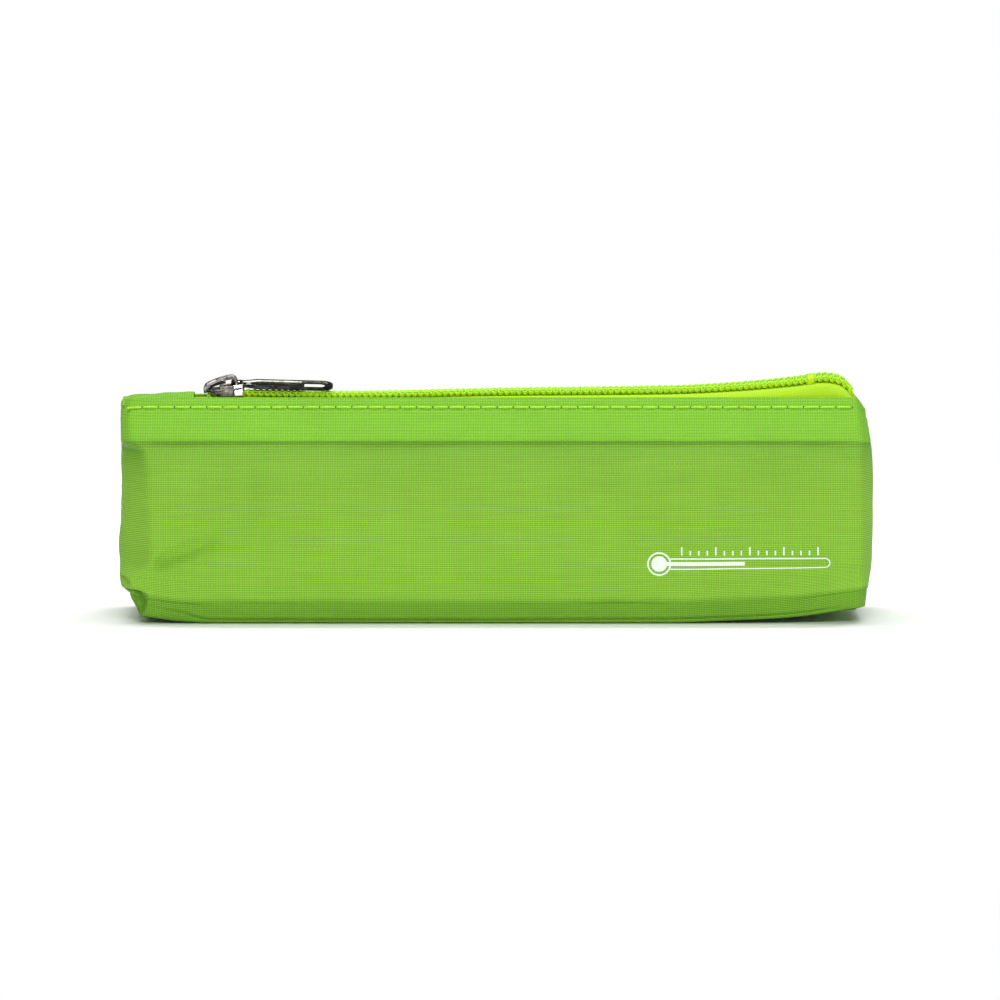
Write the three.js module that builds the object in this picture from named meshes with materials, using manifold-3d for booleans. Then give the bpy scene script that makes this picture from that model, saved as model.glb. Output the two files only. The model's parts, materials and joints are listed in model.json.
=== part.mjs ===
// Soft insulated pouch for insulin pens, closed by a zip along its top.
// Millimetres. +X is the length, from the closed slider to the other end; the front faces -Y; +Z is up.
// The origin is the middle of the face that rests on the table.
import * as THREE from "three";
import { mergeVertices } from "three/addons/utils/BufferGeometryUtils.js";
import Module from "manifold-3d";

const wasm = await Module();
wasm.setup();

// Case
const CASE_LENGTH = 200;
const CASE_DEPTH = 48;
const FABRIC_HEIGHT = 58.8;
const END_WRAP = 8;
const RIM_HEIGHT = 5.3;
const SEAM_GAP = 0.3;

// Layers of the wall, from the outside in
const FABRIC_THICKNESS = 0.6;
const FOAM_THICKNESS = 3;
const LINING_THICKNESS = 0.3;
const LAYER_GAP = 0.3;
const HEM_HEIGHT = 10.6;
const HEM_PROUD = 0.45;
const HEM_STEP = 0.5;

// Flat of the base and the curve that runs up from it
const BASE_FLAT_INSET = 7;
const BASE_CURVE_INSET = 3.4;
const BASE_CURVE_RISE = 0.5;
const BASE_HEEL_INSET = 0.9;
const BASE_HEEL_RISE = 2.3;

// Zip chain
const TAPE_THICKNESS = 0.4;
const TAPE_HEM_DEPTH = 8;
const TAPE_CLEARANCE = 0.3;
const TAPE_SHOULDER = 1.1;
const COIL_WIDTH = 2.6;
const COIL_HEIGHT = 1.6;
const COIL_PITCH = 1.65;
const COIL_RIB = 0.2;
const CHAIN_GAP = 0.3;
const COIL_CRIMP_SHARE = 0.34;
const COIL_END_MARGIN = 5;
const TAPE_END_MARGIN = 3;

// Slider
const SLIDER_LENGTH = 9.6;
const SLIDER_CENTRE_INSET = 27.2;
const SLIDER_PITCH = THREE.MathUtils.degToRad(5);
const PLATE_THICKNESS = 0.8;
const FLANGE_THICKNESS = 0.8;
const CHANNEL_CLEARANCE = 0.4;
const SLIDER_NOSE = 1.2;
const WEDGE_WIDTH = 1.6;
const WEDGE_LENGTH = 3.4;
const TAPE_SLOT_HEIGHT = 1;

// Crown over the slider
const CROWN_WIDTH = 1.8;
const CROWN_HEIGHT = 2.75;
const CROWN_THICKNESS = 0.95;
const CROWN_NOSE = 1;

// Puller
const PULLER_LENGTH = 27.4;
const PULLER_WIDTH = 6.2;
const PULLER_NECK_WIDTH = 4.2;
const PULLER_THICKNESS = 0.6;
const PULLER_BAR = 0.8;
const PULLER_EYE_LENGTH = 4.6;
const PULLER_SLOT_LENGTH = 5;
const PULLER_SLOT_WIDTH = 4.2;
const PULLER_RUNNING_GAP = 0.35;
const PULLER_ROLL = THREE.MathUtils.degToRad(13);
const PULLER_DROOP = THREE.MathUtils.degToRad(1.5);

// Small zip and seam parts
const STOP_LENGTH = 2.1;
const STOP_WALL = 0.4;
const BOTTOM_STOP_INSET = 15.8;
const TAB_LENGTH = 18.6;
const TAB_CLEARANCE = 0.3;
const STITCH_PITCH = 4.32;
const STITCH_THREAD = 0.45;
const STITCH_DROP = 2.1;
const BINDING_WIDTH = 2.6;
const BINDING_THICKNESS = 0.8;

// Gel ice pack
const PACK_LENGTH = 152;
const PACK_WIDTH = 31;
const PACK_THICKNESS = 12;
const PACK_SEAL = 4;
const PACK_FILM = 0.3;

const CUT_OVERRUN = 1;

const HALF_LENGTH = CASE_LENGTH / 2;
const HALF_DEPTH = CASE_DEPTH / 2;
const HALF_SPAN = HALF_LENGTH - END_WRAP;
const WALL_FOOT = RIM_HEIGHT + SEAM_GAP;
const CREASE_HEIGHT = FABRIC_HEIGHT - HEM_HEIGHT;
const FOAM_DEPTH = FABRIC_THICKNESS + LAYER_GAP;
const LINING_DEPTH = FOAM_DEPTH + FOAM_THICKNESS + LAYER_GAP;
const INNER_DEPTH = LINING_DEPTH + LINING_THICKNESS;
const CHAIN_HALF_GAP = CHAIN_GAP / 2;

// The wall from its foot to the mouth: shares of the height between them, the half depth and the half length
const WALL_SHARES = [
  [0, 0.955, 0.968],
  [0.06, 0.978, 0.986],
  [0.22, 1, 1],
  [0.4, 0.982, 1],
  [0.56, 0.905, 0.997],
  [0.69, 0.79, 0.992],
  [0.8, 0.64, 0.987],
  [0.92, 0.42, 0.984],
  [1, 0.27, 0.982],
];

// Height of the zip's coil along the case: shares of the half length, and how far the coil's middle is above
// the fabric's edge, as shares of its rise
const COIL_RISE = 2;
const COIL_SHARES = [
  [-0.97, -0.35],
  [-0.79, 0],
  [-0.67, 0.52],
  [-0.6, 0.45],
  [-0.41, 0.32],
  [0, 0.68],
  [0.48, 1],
  [0.65, 1.45],
  [0.8, 2.2],
  [0.865, 2.65],
  [0.905, 2.35],
  [0.935, 1.2],
  [0.96, -0.3],
];

const FABRIC = { color: 0x7fc032, roughness: 0.8, metalness: 0 };
const FOAM = { color: 0xe9e7df, roughness: 0.9, metalness: 0 };
const FOIL = { color: 0xc6c9cc, roughness: 0.3, metalness: 0.8 };
const TAPE = { color: 0xa9dc22, roughness: 0.7, metalness: 0 };
const COIL = { color: 0xa2d81d, roughness: 0.45, metalness: 0 };
const THREAD = { color: 0xb4e23c, roughness: 0.6, metalness: 0 };
const NICKEL = { color: 0x6f6c66, roughness: 0.3, metalness: 1 };
const BINDING = { color: 0x2b2b2d, roughness: 0.85, metalness: 0 };
const FILM = { color: 0xdfeaf2, roughness: 0.2, metalness: 0 };
const GEL = { color: 0x66a9d8, roughness: 0.3, metalness: 0 };

const part = new THREE.Group();

function addPiece(parent, name, geometry, look) {
  const piece = new THREE.Mesh(geometry, new THREE.MeshStandardMaterial(look));
  piece.name = name;
  parent.add(piece);
  return piece;
}

function clamp(value, low, high) {
  return Math.min(Math.max(value, low), high);
}

// A table's column at a value of its first column, mixed from the row before and the row after.
function lookUp(table, value, column) {
  const last = table.length - 1;
  if (value <= table[0][0]) return table[0][column];
  if (value >= table[last][0]) return table[last][column];
  const next = table.findIndex((row) => row[0] > value);
  const [before, after] = [table[next - 1], table[next]];
  const mix = (value - before[0]) / (after[0] - before[0]);
  return THREE.MathUtils.lerp(before[column], after[column], mix);
}

function wallDepth(share) {
  return lookUp(WALL_SHARES, share, 1) * HALF_DEPTH;
}

function wallLength(share) {
  return lookUp(WALL_SHARES, share, 2) * HALF_LENGTH;
}

function wallHeight(share) {
  return WALL_FOOT + share * (FABRIC_HEIGHT - WALL_FOOT);
}

// The share of the wall's height at a height above the table.
function shareAt(height) {
  return (height - WALL_FOOT) / (FABRIC_HEIGHT - WALL_FOOT);
}

// Outward normal of the wall's side profile: across the case, and up. The foot faces straight out.
const SLOPE_STEP_SHARE = 0.02;

function profileNormal(reach, share) {
  if (share <= 0) return [1, 0];
  const low = clamp(share - SLOPE_STEP_SHARE, 0, 1);
  const high = clamp(share + SLOPE_STEP_SHARE, 0, 1);
  const run = reach(high) - reach(low);
  const rise = wallHeight(high) - wallHeight(low);
  const size = Math.hypot(run, rise);
  return [rise / size, -run / size];
}

// A point of a side wall at a share of its height, sunk by a depth below the outer face: how far it is from the
// middle plane, and its height.
function wallPoint(share, depth) {
  const [out, up] = profileNormal(wallDepth, share);
  return [wallDepth(share) - depth * out, wallHeight(share) - depth * up];
}

function endPoint(share, depth) {
  const [out, up] = profileNormal(wallLength, share);
  return [wallLength(share) - depth * out, wallHeight(share) - depth * up];
}

// One closed sheet between two grids of points with the same rows and columns. The first is the outer face.
function sheetGeometry(outer, inner) {
  const rows = outer.length;
  const columns = outer[0].length;
  const positions = [];
  for (const face of [outer, inner]) {
    for (const row of face) {
      for (const point of row) positions.push(point.x, point.y, point.z);
    }
  }
  const at = (face, row, column) => (face * rows + row) * columns + column;
  const triangles = [];
  const quad = (a, b, c, d) => triangles.push(a, b, c, a, c, d);
  for (let r = 1; r < rows; r++) {
    for (let c = 1; c < columns; c++) {
      quad(at(0, r - 1, c - 1), at(0, r - 1, c), at(0, r, c), at(0, r, c - 1));
      quad(at(1, r - 1, c - 1), at(1, r, c - 1), at(1, r, c), at(1, r - 1, c));
    }
  }
  for (let c = 1; c < columns; c++) {
    quad(at(0, 0, c), at(0, 0, c - 1), at(1, 0, c - 1), at(1, 0, c));
    quad(at(0, rows - 1, c - 1), at(0, rows - 1, c), at(1, rows - 1, c), at(1, rows - 1, c - 1));
  }
  for (let r = 1; r < rows; r++) {
    quad(at(0, r - 1, 0), at(0, r, 0), at(1, r, 0), at(1, r - 1, 0));
    quad(at(0, r, columns - 1), at(0, r - 1, columns - 1), at(1, r - 1, columns - 1), at(1, r, columns - 1));
  }
  const geometry = new THREE.BufferGeometry();
  geometry.setAttribute("position", new THREE.Float32BufferAttribute(positions, 3));
  geometry.setIndex(triangles);
  return geometry;
}

function grid(rows, columns, point) {
  return rows.map((row) => columns.map((column) => point(row, column)));
}

function toSolid(geometry) {
  const bare = geometry.clone();
  bare.deleteAttribute("normal");
  bare.deleteAttribute("uv");
  const merged = mergeVertices(bare);
  return new wasm.Manifold(
    new wasm.Mesh({
      numProp: 3,
      vertProperties: new Float32Array(merged.attributes.position.array),
      triVerts: new Uint32Array(merged.index.array),
    }),
  );
}

function fromSolid(solid) {
  const mesh = solid.getMesh();
  const geometry = new THREE.BufferGeometry();
  geometry.setAttribute("position", new THREE.BufferAttribute(mesh.vertProperties, mesh.numProp));
  geometry.setIndex(new THREE.BufferAttribute(mesh.triVerts, 1));
  return geometry;
}

// A flat outline of [x, y] points, pushed up from one height to another.
function slab(outline, low, high) {
  const shape = new THREE.Shape(outline.map(([x, y]) => new THREE.Vector2(x, y)));
  const geometry = new THREE.ExtrudeGeometry(shape, { depth: high - low, bevelEnabled: false });
  geometry.translate(0, 0, low);
  return geometry;
}

// A flat outline of [x, z] points, pushed both ways along Y to a width.
function sideSlab(outline, width) {
  const geometry = slab(outline, -width / 2, width / 2);
  geometry.rotateX(Math.PI / 2);
  return geometry;
}

// A flat outline of [y, z] points, pushed along X from one place to another.
function crossSlab(outline, from, to) {
  const geometry = slab(outline, from, to);
  geometry.applyMatrix4(new THREE.Matrix4().set(0, 0, 1, 0, 1, 0, 0, 0, 0, 1, 0, 0, 0, 0, 0, 1));
  return geometry;
}

// Base: a shallow pan. A grid over a square is laid over it, and each ring of the square is one outline of the
// pan.
// The shares are each ring's place in the square, and how far its face looks out and down.
const PAN_RING_SHARES = [0.64, 0.78, 0.9, 1];
const PAN_OUT_SHARES = [0, 0.35, 0.85, 1];
const PAN_DOWN_SHARES = [1, 0.94, 0.53, 0];
const PAN_CORNER_SHARE = 0.95;
const PAN_INSETS = [BASE_FLAT_INSET, BASE_CURVE_INSET, BASE_HEEL_INSET, 0];
const PAN_RISES = [0, BASE_CURVE_RISE, BASE_HEEL_RISE, RIM_HEIGHT];
const PAN_PROFILE = PAN_RING_SHARES.map((ring, i) => [
  ring,
  PAN_INSETS[i],
  PAN_RISES[i],
  PAN_OUT_SHARES[i],
  PAN_DOWN_SHARES[i],
]);

function panPoint(u, v, depth) {
  const ring = Math.max(Math.abs(u), Math.abs(v));
  const flat = Math.min(ring / PAN_RING_SHARES[0], 1);
  const out = lookUp(PAN_PROFILE, ring, 3);
  const inset = lookUp(PAN_PROFILE, ring, 1) + depth * out;
  const height = lookUp(PAN_PROFILE, ring, 2) + depth * lookUp(PAN_PROFILE, ring, 4);
  if (ring === 0) return new THREE.Vector3(0, 0, height);
  const endLength = (wallLength(0) - inset) * flat;
  const sideDepth = (wallDepth(0) - inset) * flat;
  const corner = wallLength(0) - HALF_SPAN - depth * out;
  const x = (Math.abs(u) / ring) * endLength;
  const y = (Math.abs(v) / ring) * sideDepth;
  const overX = x - (endLength - corner);
  const overY = y - (sideDepth - corner);
  if (overX <= 0 || overY <= 0) return new THREE.Vector3(Math.sign(u) * x, Math.sign(v) * y, height);
  const pull = Math.max(overX, overY) / Math.hypot(overX, overY);
  return new THREE.Vector3(
    Math.sign(u) * (endLength - corner + overX * pull),
    Math.sign(v) * (sideDepth - corner + overY * pull),
    height,
  );
}

function panSheet(from, to) {
  const half = [...PAN_RING_SHARES, PAN_CORNER_SHARE, PAN_RING_SHARES[0] / 2];
  const lines = [...half.map((share) => -share), 0, ...half].sort((a, b) => a - b);
  const face = (depth) => grid(lines, lines, (v, u) => panPoint(u, v, depth));
  return sheetGeometry(face(to), face(from));
}

// A front wall layer, between two depths below the outer face.
function wallSheet(shares, from, to) {
  const reach = HALF_SPAN - SEAM_GAP / 2;
  const columns = [-reach, reach];
  const face = (depthAt) =>
    grid(shares, columns, (share, x) => {
      const [y, z] = wallPoint(share, depthAt(share));
      return new THREE.Vector3(x, -y, z);
    });
  return sheetGeometry(face(from), face(to));
}

// An end layer: it starts where the front wall stops, goes round the end and comes back to the back wall.
const END_TURN_STEPS = 4;

function endSheet(side, shares, from, to) {
  const quarter = Array.from({ length: END_TURN_STEPS + 1 }, (_, i) => i / END_TURN_STEPS);
  const columns = [...quarter.map((turn) => [-1, turn]), ...quarter.map((turn) => [1, 1 - turn])];
  const start = HALF_SPAN + SEAM_GAP / 2;
  const face = (depthAt) =>
    grid(shares, columns, (share, [half, turn]) => {
      const depth = depthAt(share);
      const [y, frontHeight] = wallPoint(share, depth);
      const [x, endHeight] = endPoint(share, depth);
      const angle = (turn * Math.PI) / 2;
      const radius = Math.min(x - start, y);
      return new THREE.Vector3(
        side * (x - radius + radius * Math.sin(angle)),
        half * (y - radius + radius * Math.cos(angle)),
        THREE.MathUtils.lerp(frontHeight, endHeight, turn),
      );
    });
  const geometry = sheetGeometry(face(from), face(to));
  return side < 0 ? flipped(geometry) : geometry;
}

function flipped(geometry) {
  const triangles = geometry.index.array;
  for (let i = 0; i < triangles.length; i += 3) {
    [triangles[i + 1], triangles[i + 2]] = [triangles[i + 2], triangles[i + 1]];
  }
  return geometry;
}

const WALL_ROWS = WALL_SHARES.map(([share]) => share);
const CREASE_SHARE = shareAt(CREASE_HEIGHT);
const HEM_FOOT_SHARE = shareAt(CREASE_HEIGHT + HEM_STEP);
const FOAM_ROWS = [...WALL_ROWS.filter((share) => share < CREASE_SHARE), CREASE_SHARE];
const FABRIC_ROWS = [...FOAM_ROWS, HEM_FOOT_SHARE, ...WALL_ROWS.filter((share) => share > HEM_FOOT_SHARE)];

// The hem is a second layer of fabric, so the fabric stands proud above its crease.
function fabricFace(share) {
  return share > CREASE_SHARE && share < 1 ? -HEM_PROUD : 0;
}

const LAYERS = {
  panel: { rows: FABRIC_ROWS, from: fabricFace, to: () => FABRIC_THICKNESS, look: FABRIC },
  foam: { rows: FOAM_ROWS, from: () => FOAM_DEPTH, to: () => FOAM_DEPTH + FOAM_THICKNESS, look: FOAM },
  lining: { rows: FOAM_ROWS, from: () => LINING_DEPTH, to: () => INNER_DEPTH, look: FOIL },
};

const pouch = new THREE.Group();
const frontWall = new THREE.Group();
const backWall = new THREE.Group();
backWall.scale.y = -1;
part.add(pouch, frontWall, backWall);

// A piece of the front wall and its mirror image in the back wall.
function addPair(name, geometry, look) {
  addPiece(frontWall, "front_" + name, geometry, look);
  addPiece(backWall, "back_" + name, geometry, look);
}

addPiece(pouch, "base_panel", panSheet(0, FABRIC_THICKNESS), FABRIC);
addPiece(pouch, "base_foam", panSheet(FOAM_DEPTH, FOAM_DEPTH + FOAM_THICKNESS), FOAM);
addPiece(pouch, "base_lining", panSheet(LINING_DEPTH, INNER_DEPTH), FOIL);

for (const [layer, { rows, from, to, look }] of Object.entries(LAYERS)) {
  addPair(layer, wallSheet(rows, from, to), look);
  addPiece(pouch, "left_end_" + layer, endSheet(-1, rows, from, to), look);
  addPiece(pouch, "right_end_" + layer, endSheet(1, rows, from, to), look);
}

// Zip chain: how far the inner side of each coil lies from the middle, and how high its centre lies
const SLIDER_X = SLIDER_CENTRE_INSET - HALF_LENGTH;
const SLIDER_HALF = SLIDER_LENGTH / 2;
const WEDGE_CLEARANCE = CHAIN_GAP;
const CHAIN_SPREAD = WEDGE_WIDTH / 2 + WEDGE_CLEARANCE - CHAIN_HALF_GAP;

function coilHeight(x) {
  return FABRIC_HEIGHT + lookUp(COIL_SHARES, x / HALF_LENGTH, 1) * COIL_RISE;
}

function coilInner(x) {
  const closed = THREE.MathUtils.smoothstep(x, SLIDER_X - SLIDER_HALF / 2, SLIDER_X + SLIDER_HALF / 2);
  return CHAIN_HALF_GAP + CHAIN_SPREAD * (1 - closed);
}

const BOTTOM_STOP_X = HALF_LENGTH - BOTTOM_STOP_INSET;

// The bottom stop squeezes the coils under it.
function coilTop(x) {
  const share = Math.abs(x - BOTTOM_STOP_X) < STOP_LENGTH / 2 + COIL_PITCH ? COIL_CRIMP_SHARE : 1;
  return coilHeight(x) + COIL_HEIGHT * (share - 0.5);
}

const COIL_START = SLIDER_X - SLIDER_HALF - CHAIN_GAP;
const COIL_END = HALF_LENGTH - COIL_END_MARGIN;
// Section of one coil as shares of its width and height
const COIL_SECTION_SHARES = [
  [-0.5, -0.5],
  [-0.34, 0.5],
  [0.34, 0.5],
  [0.5, -0.5],
];

// A bar through rings of points, closed by a flat face at each end.
function ringBar(rings) {
  const count = rings[0].length;
  const positions = rings.flat().flatMap((point) => [point.x, point.y, point.z]);
  const triangles = [];
  for (let r = 1; r < rings.length; r++) {
    for (let i = 0; i < count; i++) {
      const next = (i + 1) % count;
      const [a, b] = [(r - 1) * count + i, (r - 1) * count + next];
      const [c, d] = [r * count + next, r * count + i];
      triangles.push(a, b, c, a, c, d);
    }
  }
  const last = (rings.length - 1) * count;
  for (let i = 2; i < count; i++) {
    triangles.push(0, i, i - 1);
    triangles.push(last, last + i - 1, last + i);
  }
  const geometry = new THREE.BufferGeometry();
  geometry.setAttribute("position", new THREE.Float32BufferAttribute(positions, 3));
  geometry.setIndex(triangles);
  return geometry;
}

// One coil: a full ring on each tooth and a thinner one between two teeth.
function coilBar() {
  const teeth = Math.floor((COIL_END - COIL_START) / COIL_PITCH);
  const rings = [];
  for (let i = 0; i <= 2 * teeth; i++) {
    const x = COIL_START + (i * COIL_PITCH) / 2;
    const waist = i % 2 ? 0 : COIL_RIB;
    const middle = coilInner(x) + COIL_WIDTH / 2;
    rings.push(
      COIL_SECTION_SHARES.map(([across, up]) => {
        const y = middle + across * (COIL_WIDTH - waist);
        const z = up > 0 ? coilTop(x) - waist / 2 : coilHeight(x) - (COIL_HEIGHT - waist) / 2;
        return new THREE.Vector3(x, -y, z);
      }),
    );
  }
  return ringBar(rings);
}

// Tape: sewn under the hem, over the edge of the fabric and under the coil, and cut narrow near its ends.
const TAPE_DEPTH = FABRIC_THICKNESS + TAPE_CLEARANCE;
const TAPE_DROP = COIL_HEIGHT / 2 + CHAIN_HALF_GAP;
const TAPE_COLUMN_SHARES = [
  -1, -0.955, -0.94, -0.9, -0.84, -0.8, -0.76, -0.72, -0.68, -0.62, -0.42, -0.2, 0, 0.25, 0.5, 0.67, 0.75,
  0.825, 0.87, 0.9, 0.94, 0.965, 0.98, 1,
];
const TAPE_HEM_SHARES = [0, 0.45, 0.84];
const TAPE_TRIM_SHARES = [0.915, 0.945];

function tapePoint(row, x, sink) {
  const shoulder = coilInner(x) + COIL_WIDTH + TAPE_SHOULDER;
  const under = coilHeight(x) - TAPE_DROP - sink;
  if (row === 0) return [coilInner(x), under];
  const trim = THREE.MathUtils.smoothstep(Math.abs(x) / HALF_LENGTH, ...TAPE_TRIM_SHARES);
  const flat = THREE.MathUtils.lerp(shoulder, coilInner(x) + COIL_WIDTH, trim);
  if (row === 1) return [flat, under];
  const hem = TAPE_HEM_SHARES[TAPE_HEM_SHARES.length + 1 - row];
  const share = shareAt(FABRIC_HEIGHT - TAPE_HEM_DEPTH * (1 - hem));
  const edge = row === 2 ? TAPE_CLEARANCE : 0;
  const [y, z] = wallPoint(share, TAPE_DEPTH + edge + sink);
  const order = (row - 1) / TAPE_HEM_SHARES.length;
  const cutY = flat + order * TAPE_THICKNESS;
  const cutZ = under - order * TAPE_THICKNESS;
  return [THREE.MathUtils.lerp(y, cutY, trim), THREE.MathUtils.lerp(z, cutZ, trim)];
}

function tapeSheet() {
  const reach = HALF_LENGTH - TAPE_END_MARGIN;
  const columns = TAPE_COLUMN_SHARES.map((share) => share * reach);
  const rows = [4, 3, 2, 1, 0];
  const face = (sink) =>
    grid(rows, columns, (row, x) => {
      const [y, z] = tapePoint(row, x, sink);
      return new THREE.Vector3(x, -y, z);
    });
  return sheetGeometry(face(0), face(TAPE_THICKNESS));
}

// Metal stops: a clip past the end of each coil where the zip closes, and a staple over both where it ends.
function topStop() {
  const end = COIL_START - CHAIN_GAP;
  const inner = coilInner(end);
  const low = coilHeight(end) - COIL_HEIGHT / 2 + CHAIN_HALF_GAP;
  const high = coilHeight(end) + COIL_HEIGHT / 2;
  const outline = [
    [-inner - COIL_WIDTH, low],
    [-inner, low],
    [-inner, high - STOP_WALL],
    [-inner - STOP_WALL, high],
    [-inner - COIL_WIDTH + STOP_WALL, high],
    [-inner - COIL_WIDTH, high - STOP_WALL],
  ];
  return crossSlab(outline, end - STOP_LENGTH, end);
}

function bottomStop() {
  const centre = coilHeight(BOTTOM_STOP_X);
  const inner = CHAIN_HALF_GAP + COIL_WIDTH + CHAIN_GAP;
  const outer = inner + STOP_WALL;
  const under = coilTop(BOTTOM_STOP_X) + CHAIN_GAP;
  const foot = centre - COIL_HEIGHT / 2 + CHAIN_GAP;
  const outline = [
    [-outer, foot],
    [-inner, foot],
    [-inner, under],
    [inner, under],
    [inner, foot],
    [outer, foot],
    [outer, under - STOP_WALL / 2],
    [inner - STOP_WALL, under + STOP_WALL],
    [STOP_WALL - inner, under + STOP_WALL],
    [-outer, under - STOP_WALL / 2],
  ];
  return crossSlab(outline, BOTTOM_STOP_X - STOP_LENGTH / 2, BOTTOM_STOP_X + STOP_LENGTH / 2);
}

addPair("zip_tape", tapeSheet(), TAPE);
addPair("zip_coil", coilBar(), COIL);
addPair("top_stop", topStop(), COIL);
addPiece(pouch, "zip_bottom_stop", bottomStop(), COIL);

// Slider, in its own frame: X along the zip, its wide end at -X, and its zero at the coil's centre
const CHANNEL_TOP = COIL_HEIGHT / 2 + CHANNEL_CLEARANCE;
const CHANNEL_FLOOR = -TAPE_DROP - TAPE_THICKNESS - CHAIN_GAP;
const FLANGE_FOOT = CHANNEL_FLOOR + TAPE_SLOT_HEIGHT;
const PLATE_TOP = CHANNEL_TOP + PLATE_THICKNESS;
const PLATE_UNDERSIDE = CHANNEL_FLOOR - PLATE_THICKNESS;
const WIDE_CHANNEL = WEDGE_WIDTH / 2 + WEDGE_CLEARANCE + COIL_WIDTH + CHAIN_GAP;
const NARROW_CHANNEL = CHAIN_HALF_GAP + COIL_WIDTH + CHAIN_GAP;

const slider = new THREE.Group();
slider.position.set(SLIDER_X, 0, coilHeight(SLIDER_X));
slider.rotation.y = -SLIDER_PITCH;
part.add(slider);

// Both sides of an outline that is the same left and right of the middle, given as [x, half width].
function bothSides(half) {
  const back = half.map(([x, y]) => [x, -y]).reverse();
  return [...back, ...half].filter(([x, y], i, all) => {
    const before = all[(i + all.length - 1) % all.length];
    return x !== before[0] || y !== before[1];
  });
}

function sliderBody() {
  const noseX = -SLIDER_HALF;
  const shoulderX = noseX + SLIDER_NOSE;
  const wide = WIDE_CHANNEL + FLANGE_THICKNESS;
  const narrow = NARROW_CHANNEL + FLANGE_THICKNESS;
  const block = toSolid(
    slab(
      bothSides([
        [SLIDER_HALF, narrow - FLANGE_THICKNESS / 2],
        [SLIDER_HALF - FLANGE_THICKNESS / 2, narrow],
        [0, (wide + narrow) / 2],
        [shoulderX + FLANGE_THICKNESS, wide],
        [shoulderX, wide - FLANGE_THICKNESS / 4],
        [noseX, wide / 2],
      ]),
      PLATE_UNDERSIDE,
      PLATE_TOP,
    ),
  );
  const channel = toSolid(
    slab(
      bothSides([
        [SLIDER_HALF + CUT_OVERRUN, NARROW_CHANNEL],
        [SLIDER_HALF / 2, NARROW_CHANNEL],
        [shoulderX, WIDE_CHANNEL],
        [noseX - CUT_OVERRUN, WIDE_CHANNEL],
      ]),
      CHANNEL_FLOOR,
      CHANNEL_TOP,
    ),
  );
  const reach = SLIDER_HALF + CUT_OVERRUN;
  const slotOutline = bothSides([
    [reach, wide + CUT_OVERRUN],
    [-reach, wide + CUT_OVERRUN],
  ]);
  const slot = toSolid(slab(slotOutline, CHANNEL_FLOOR, FLANGE_FOOT));
  const wedge = toSolid(
    slab(
      bothSides([
        [noseX + WEDGE_LENGTH, CHAIN_HALF_GAP],
        [noseX, WEDGE_WIDTH / 2],
      ]),
      PLATE_UNDERSIDE,
      PLATE_TOP,
    ),
  );
  return fromSolid(block.subtract(channel.add(slot).subtract(wedge)));
}

// Crown: side view as shares of the slider's half length and of the crown's height over the plate
const CROWN_LIP_SHARE = 0.1;
const CROWN_BROW_SHARE = 0.5;
const CROWN_OUTER_SHARES = [
  [-0.42, 0.8],
  [0.2, 1],
  [0.54, 1],
  [0.74, 0.74],
];

function crownArch() {
  const rise = (share) => PLATE_TOP + share * CROWN_HEIGHT;
  const noseInner = -SLIDER_HALF - CHAIN_GAP;
  const noseOuter = noseInner - CROWN_THICKNESS;
  const heelOuter = SLIDER_HALF - CROWN_THICKNESS;
  const seat = PLATE_TOP + CHAIN_GAP;
  const outer = CROWN_OUTER_SHARES.map(([along, up]) => [along * SLIDER_HALF, rise(up)]);
  const under = rise(1) - CROWN_THICKNESS;
  return sideSlab(
    [
      [noseOuter, PLATE_TOP - CROWN_NOSE],
      [noseInner, PLATE_TOP - CROWN_NOSE],
      [noseInner, PLATE_TOP],
      [noseInner + CROWN_THICKNESS / 2, seat],
      [outer[0][0], outer[0][1] - CROWN_THICKNESS],
      [outer[1][0], under],
      [outer[2][0] - CROWN_THICKNESS / 4, under],
      [heelOuter - CROWN_THICKNESS, under - CROWN_THICKNESS / 2],
      [heelOuter - CROWN_THICKNESS, seat],
      [heelOuter, seat],
      ...outer.reverse(),
      [-SLIDER_HALF, rise(CROWN_BROW_SHARE)],
      [noseOuter, rise(CROWN_LIP_SHARE)],
    ],
    CROWN_WIDTH,
  );
}

addPiece(slider, "slider_body", sliderBody(), NICKEL);
addPiece(slider, "slider_crown", crownArch(), NICKEL);

// Puller, in its own frame: its cross bar lies on the hinge axis at zero, and the plate runs towards +X
const HINGE_SHARE = 0.42;
const HINGE_X = HINGE_SHARE * SLIDER_HALF;
const HINGE_HEIGHT = PLATE_TOP + PULLER_BAR / 2 + PULLER_RUNNING_GAP + PULLER_THICKNESS / 2;
const PULLER_END_STEPS = 8;

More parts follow.
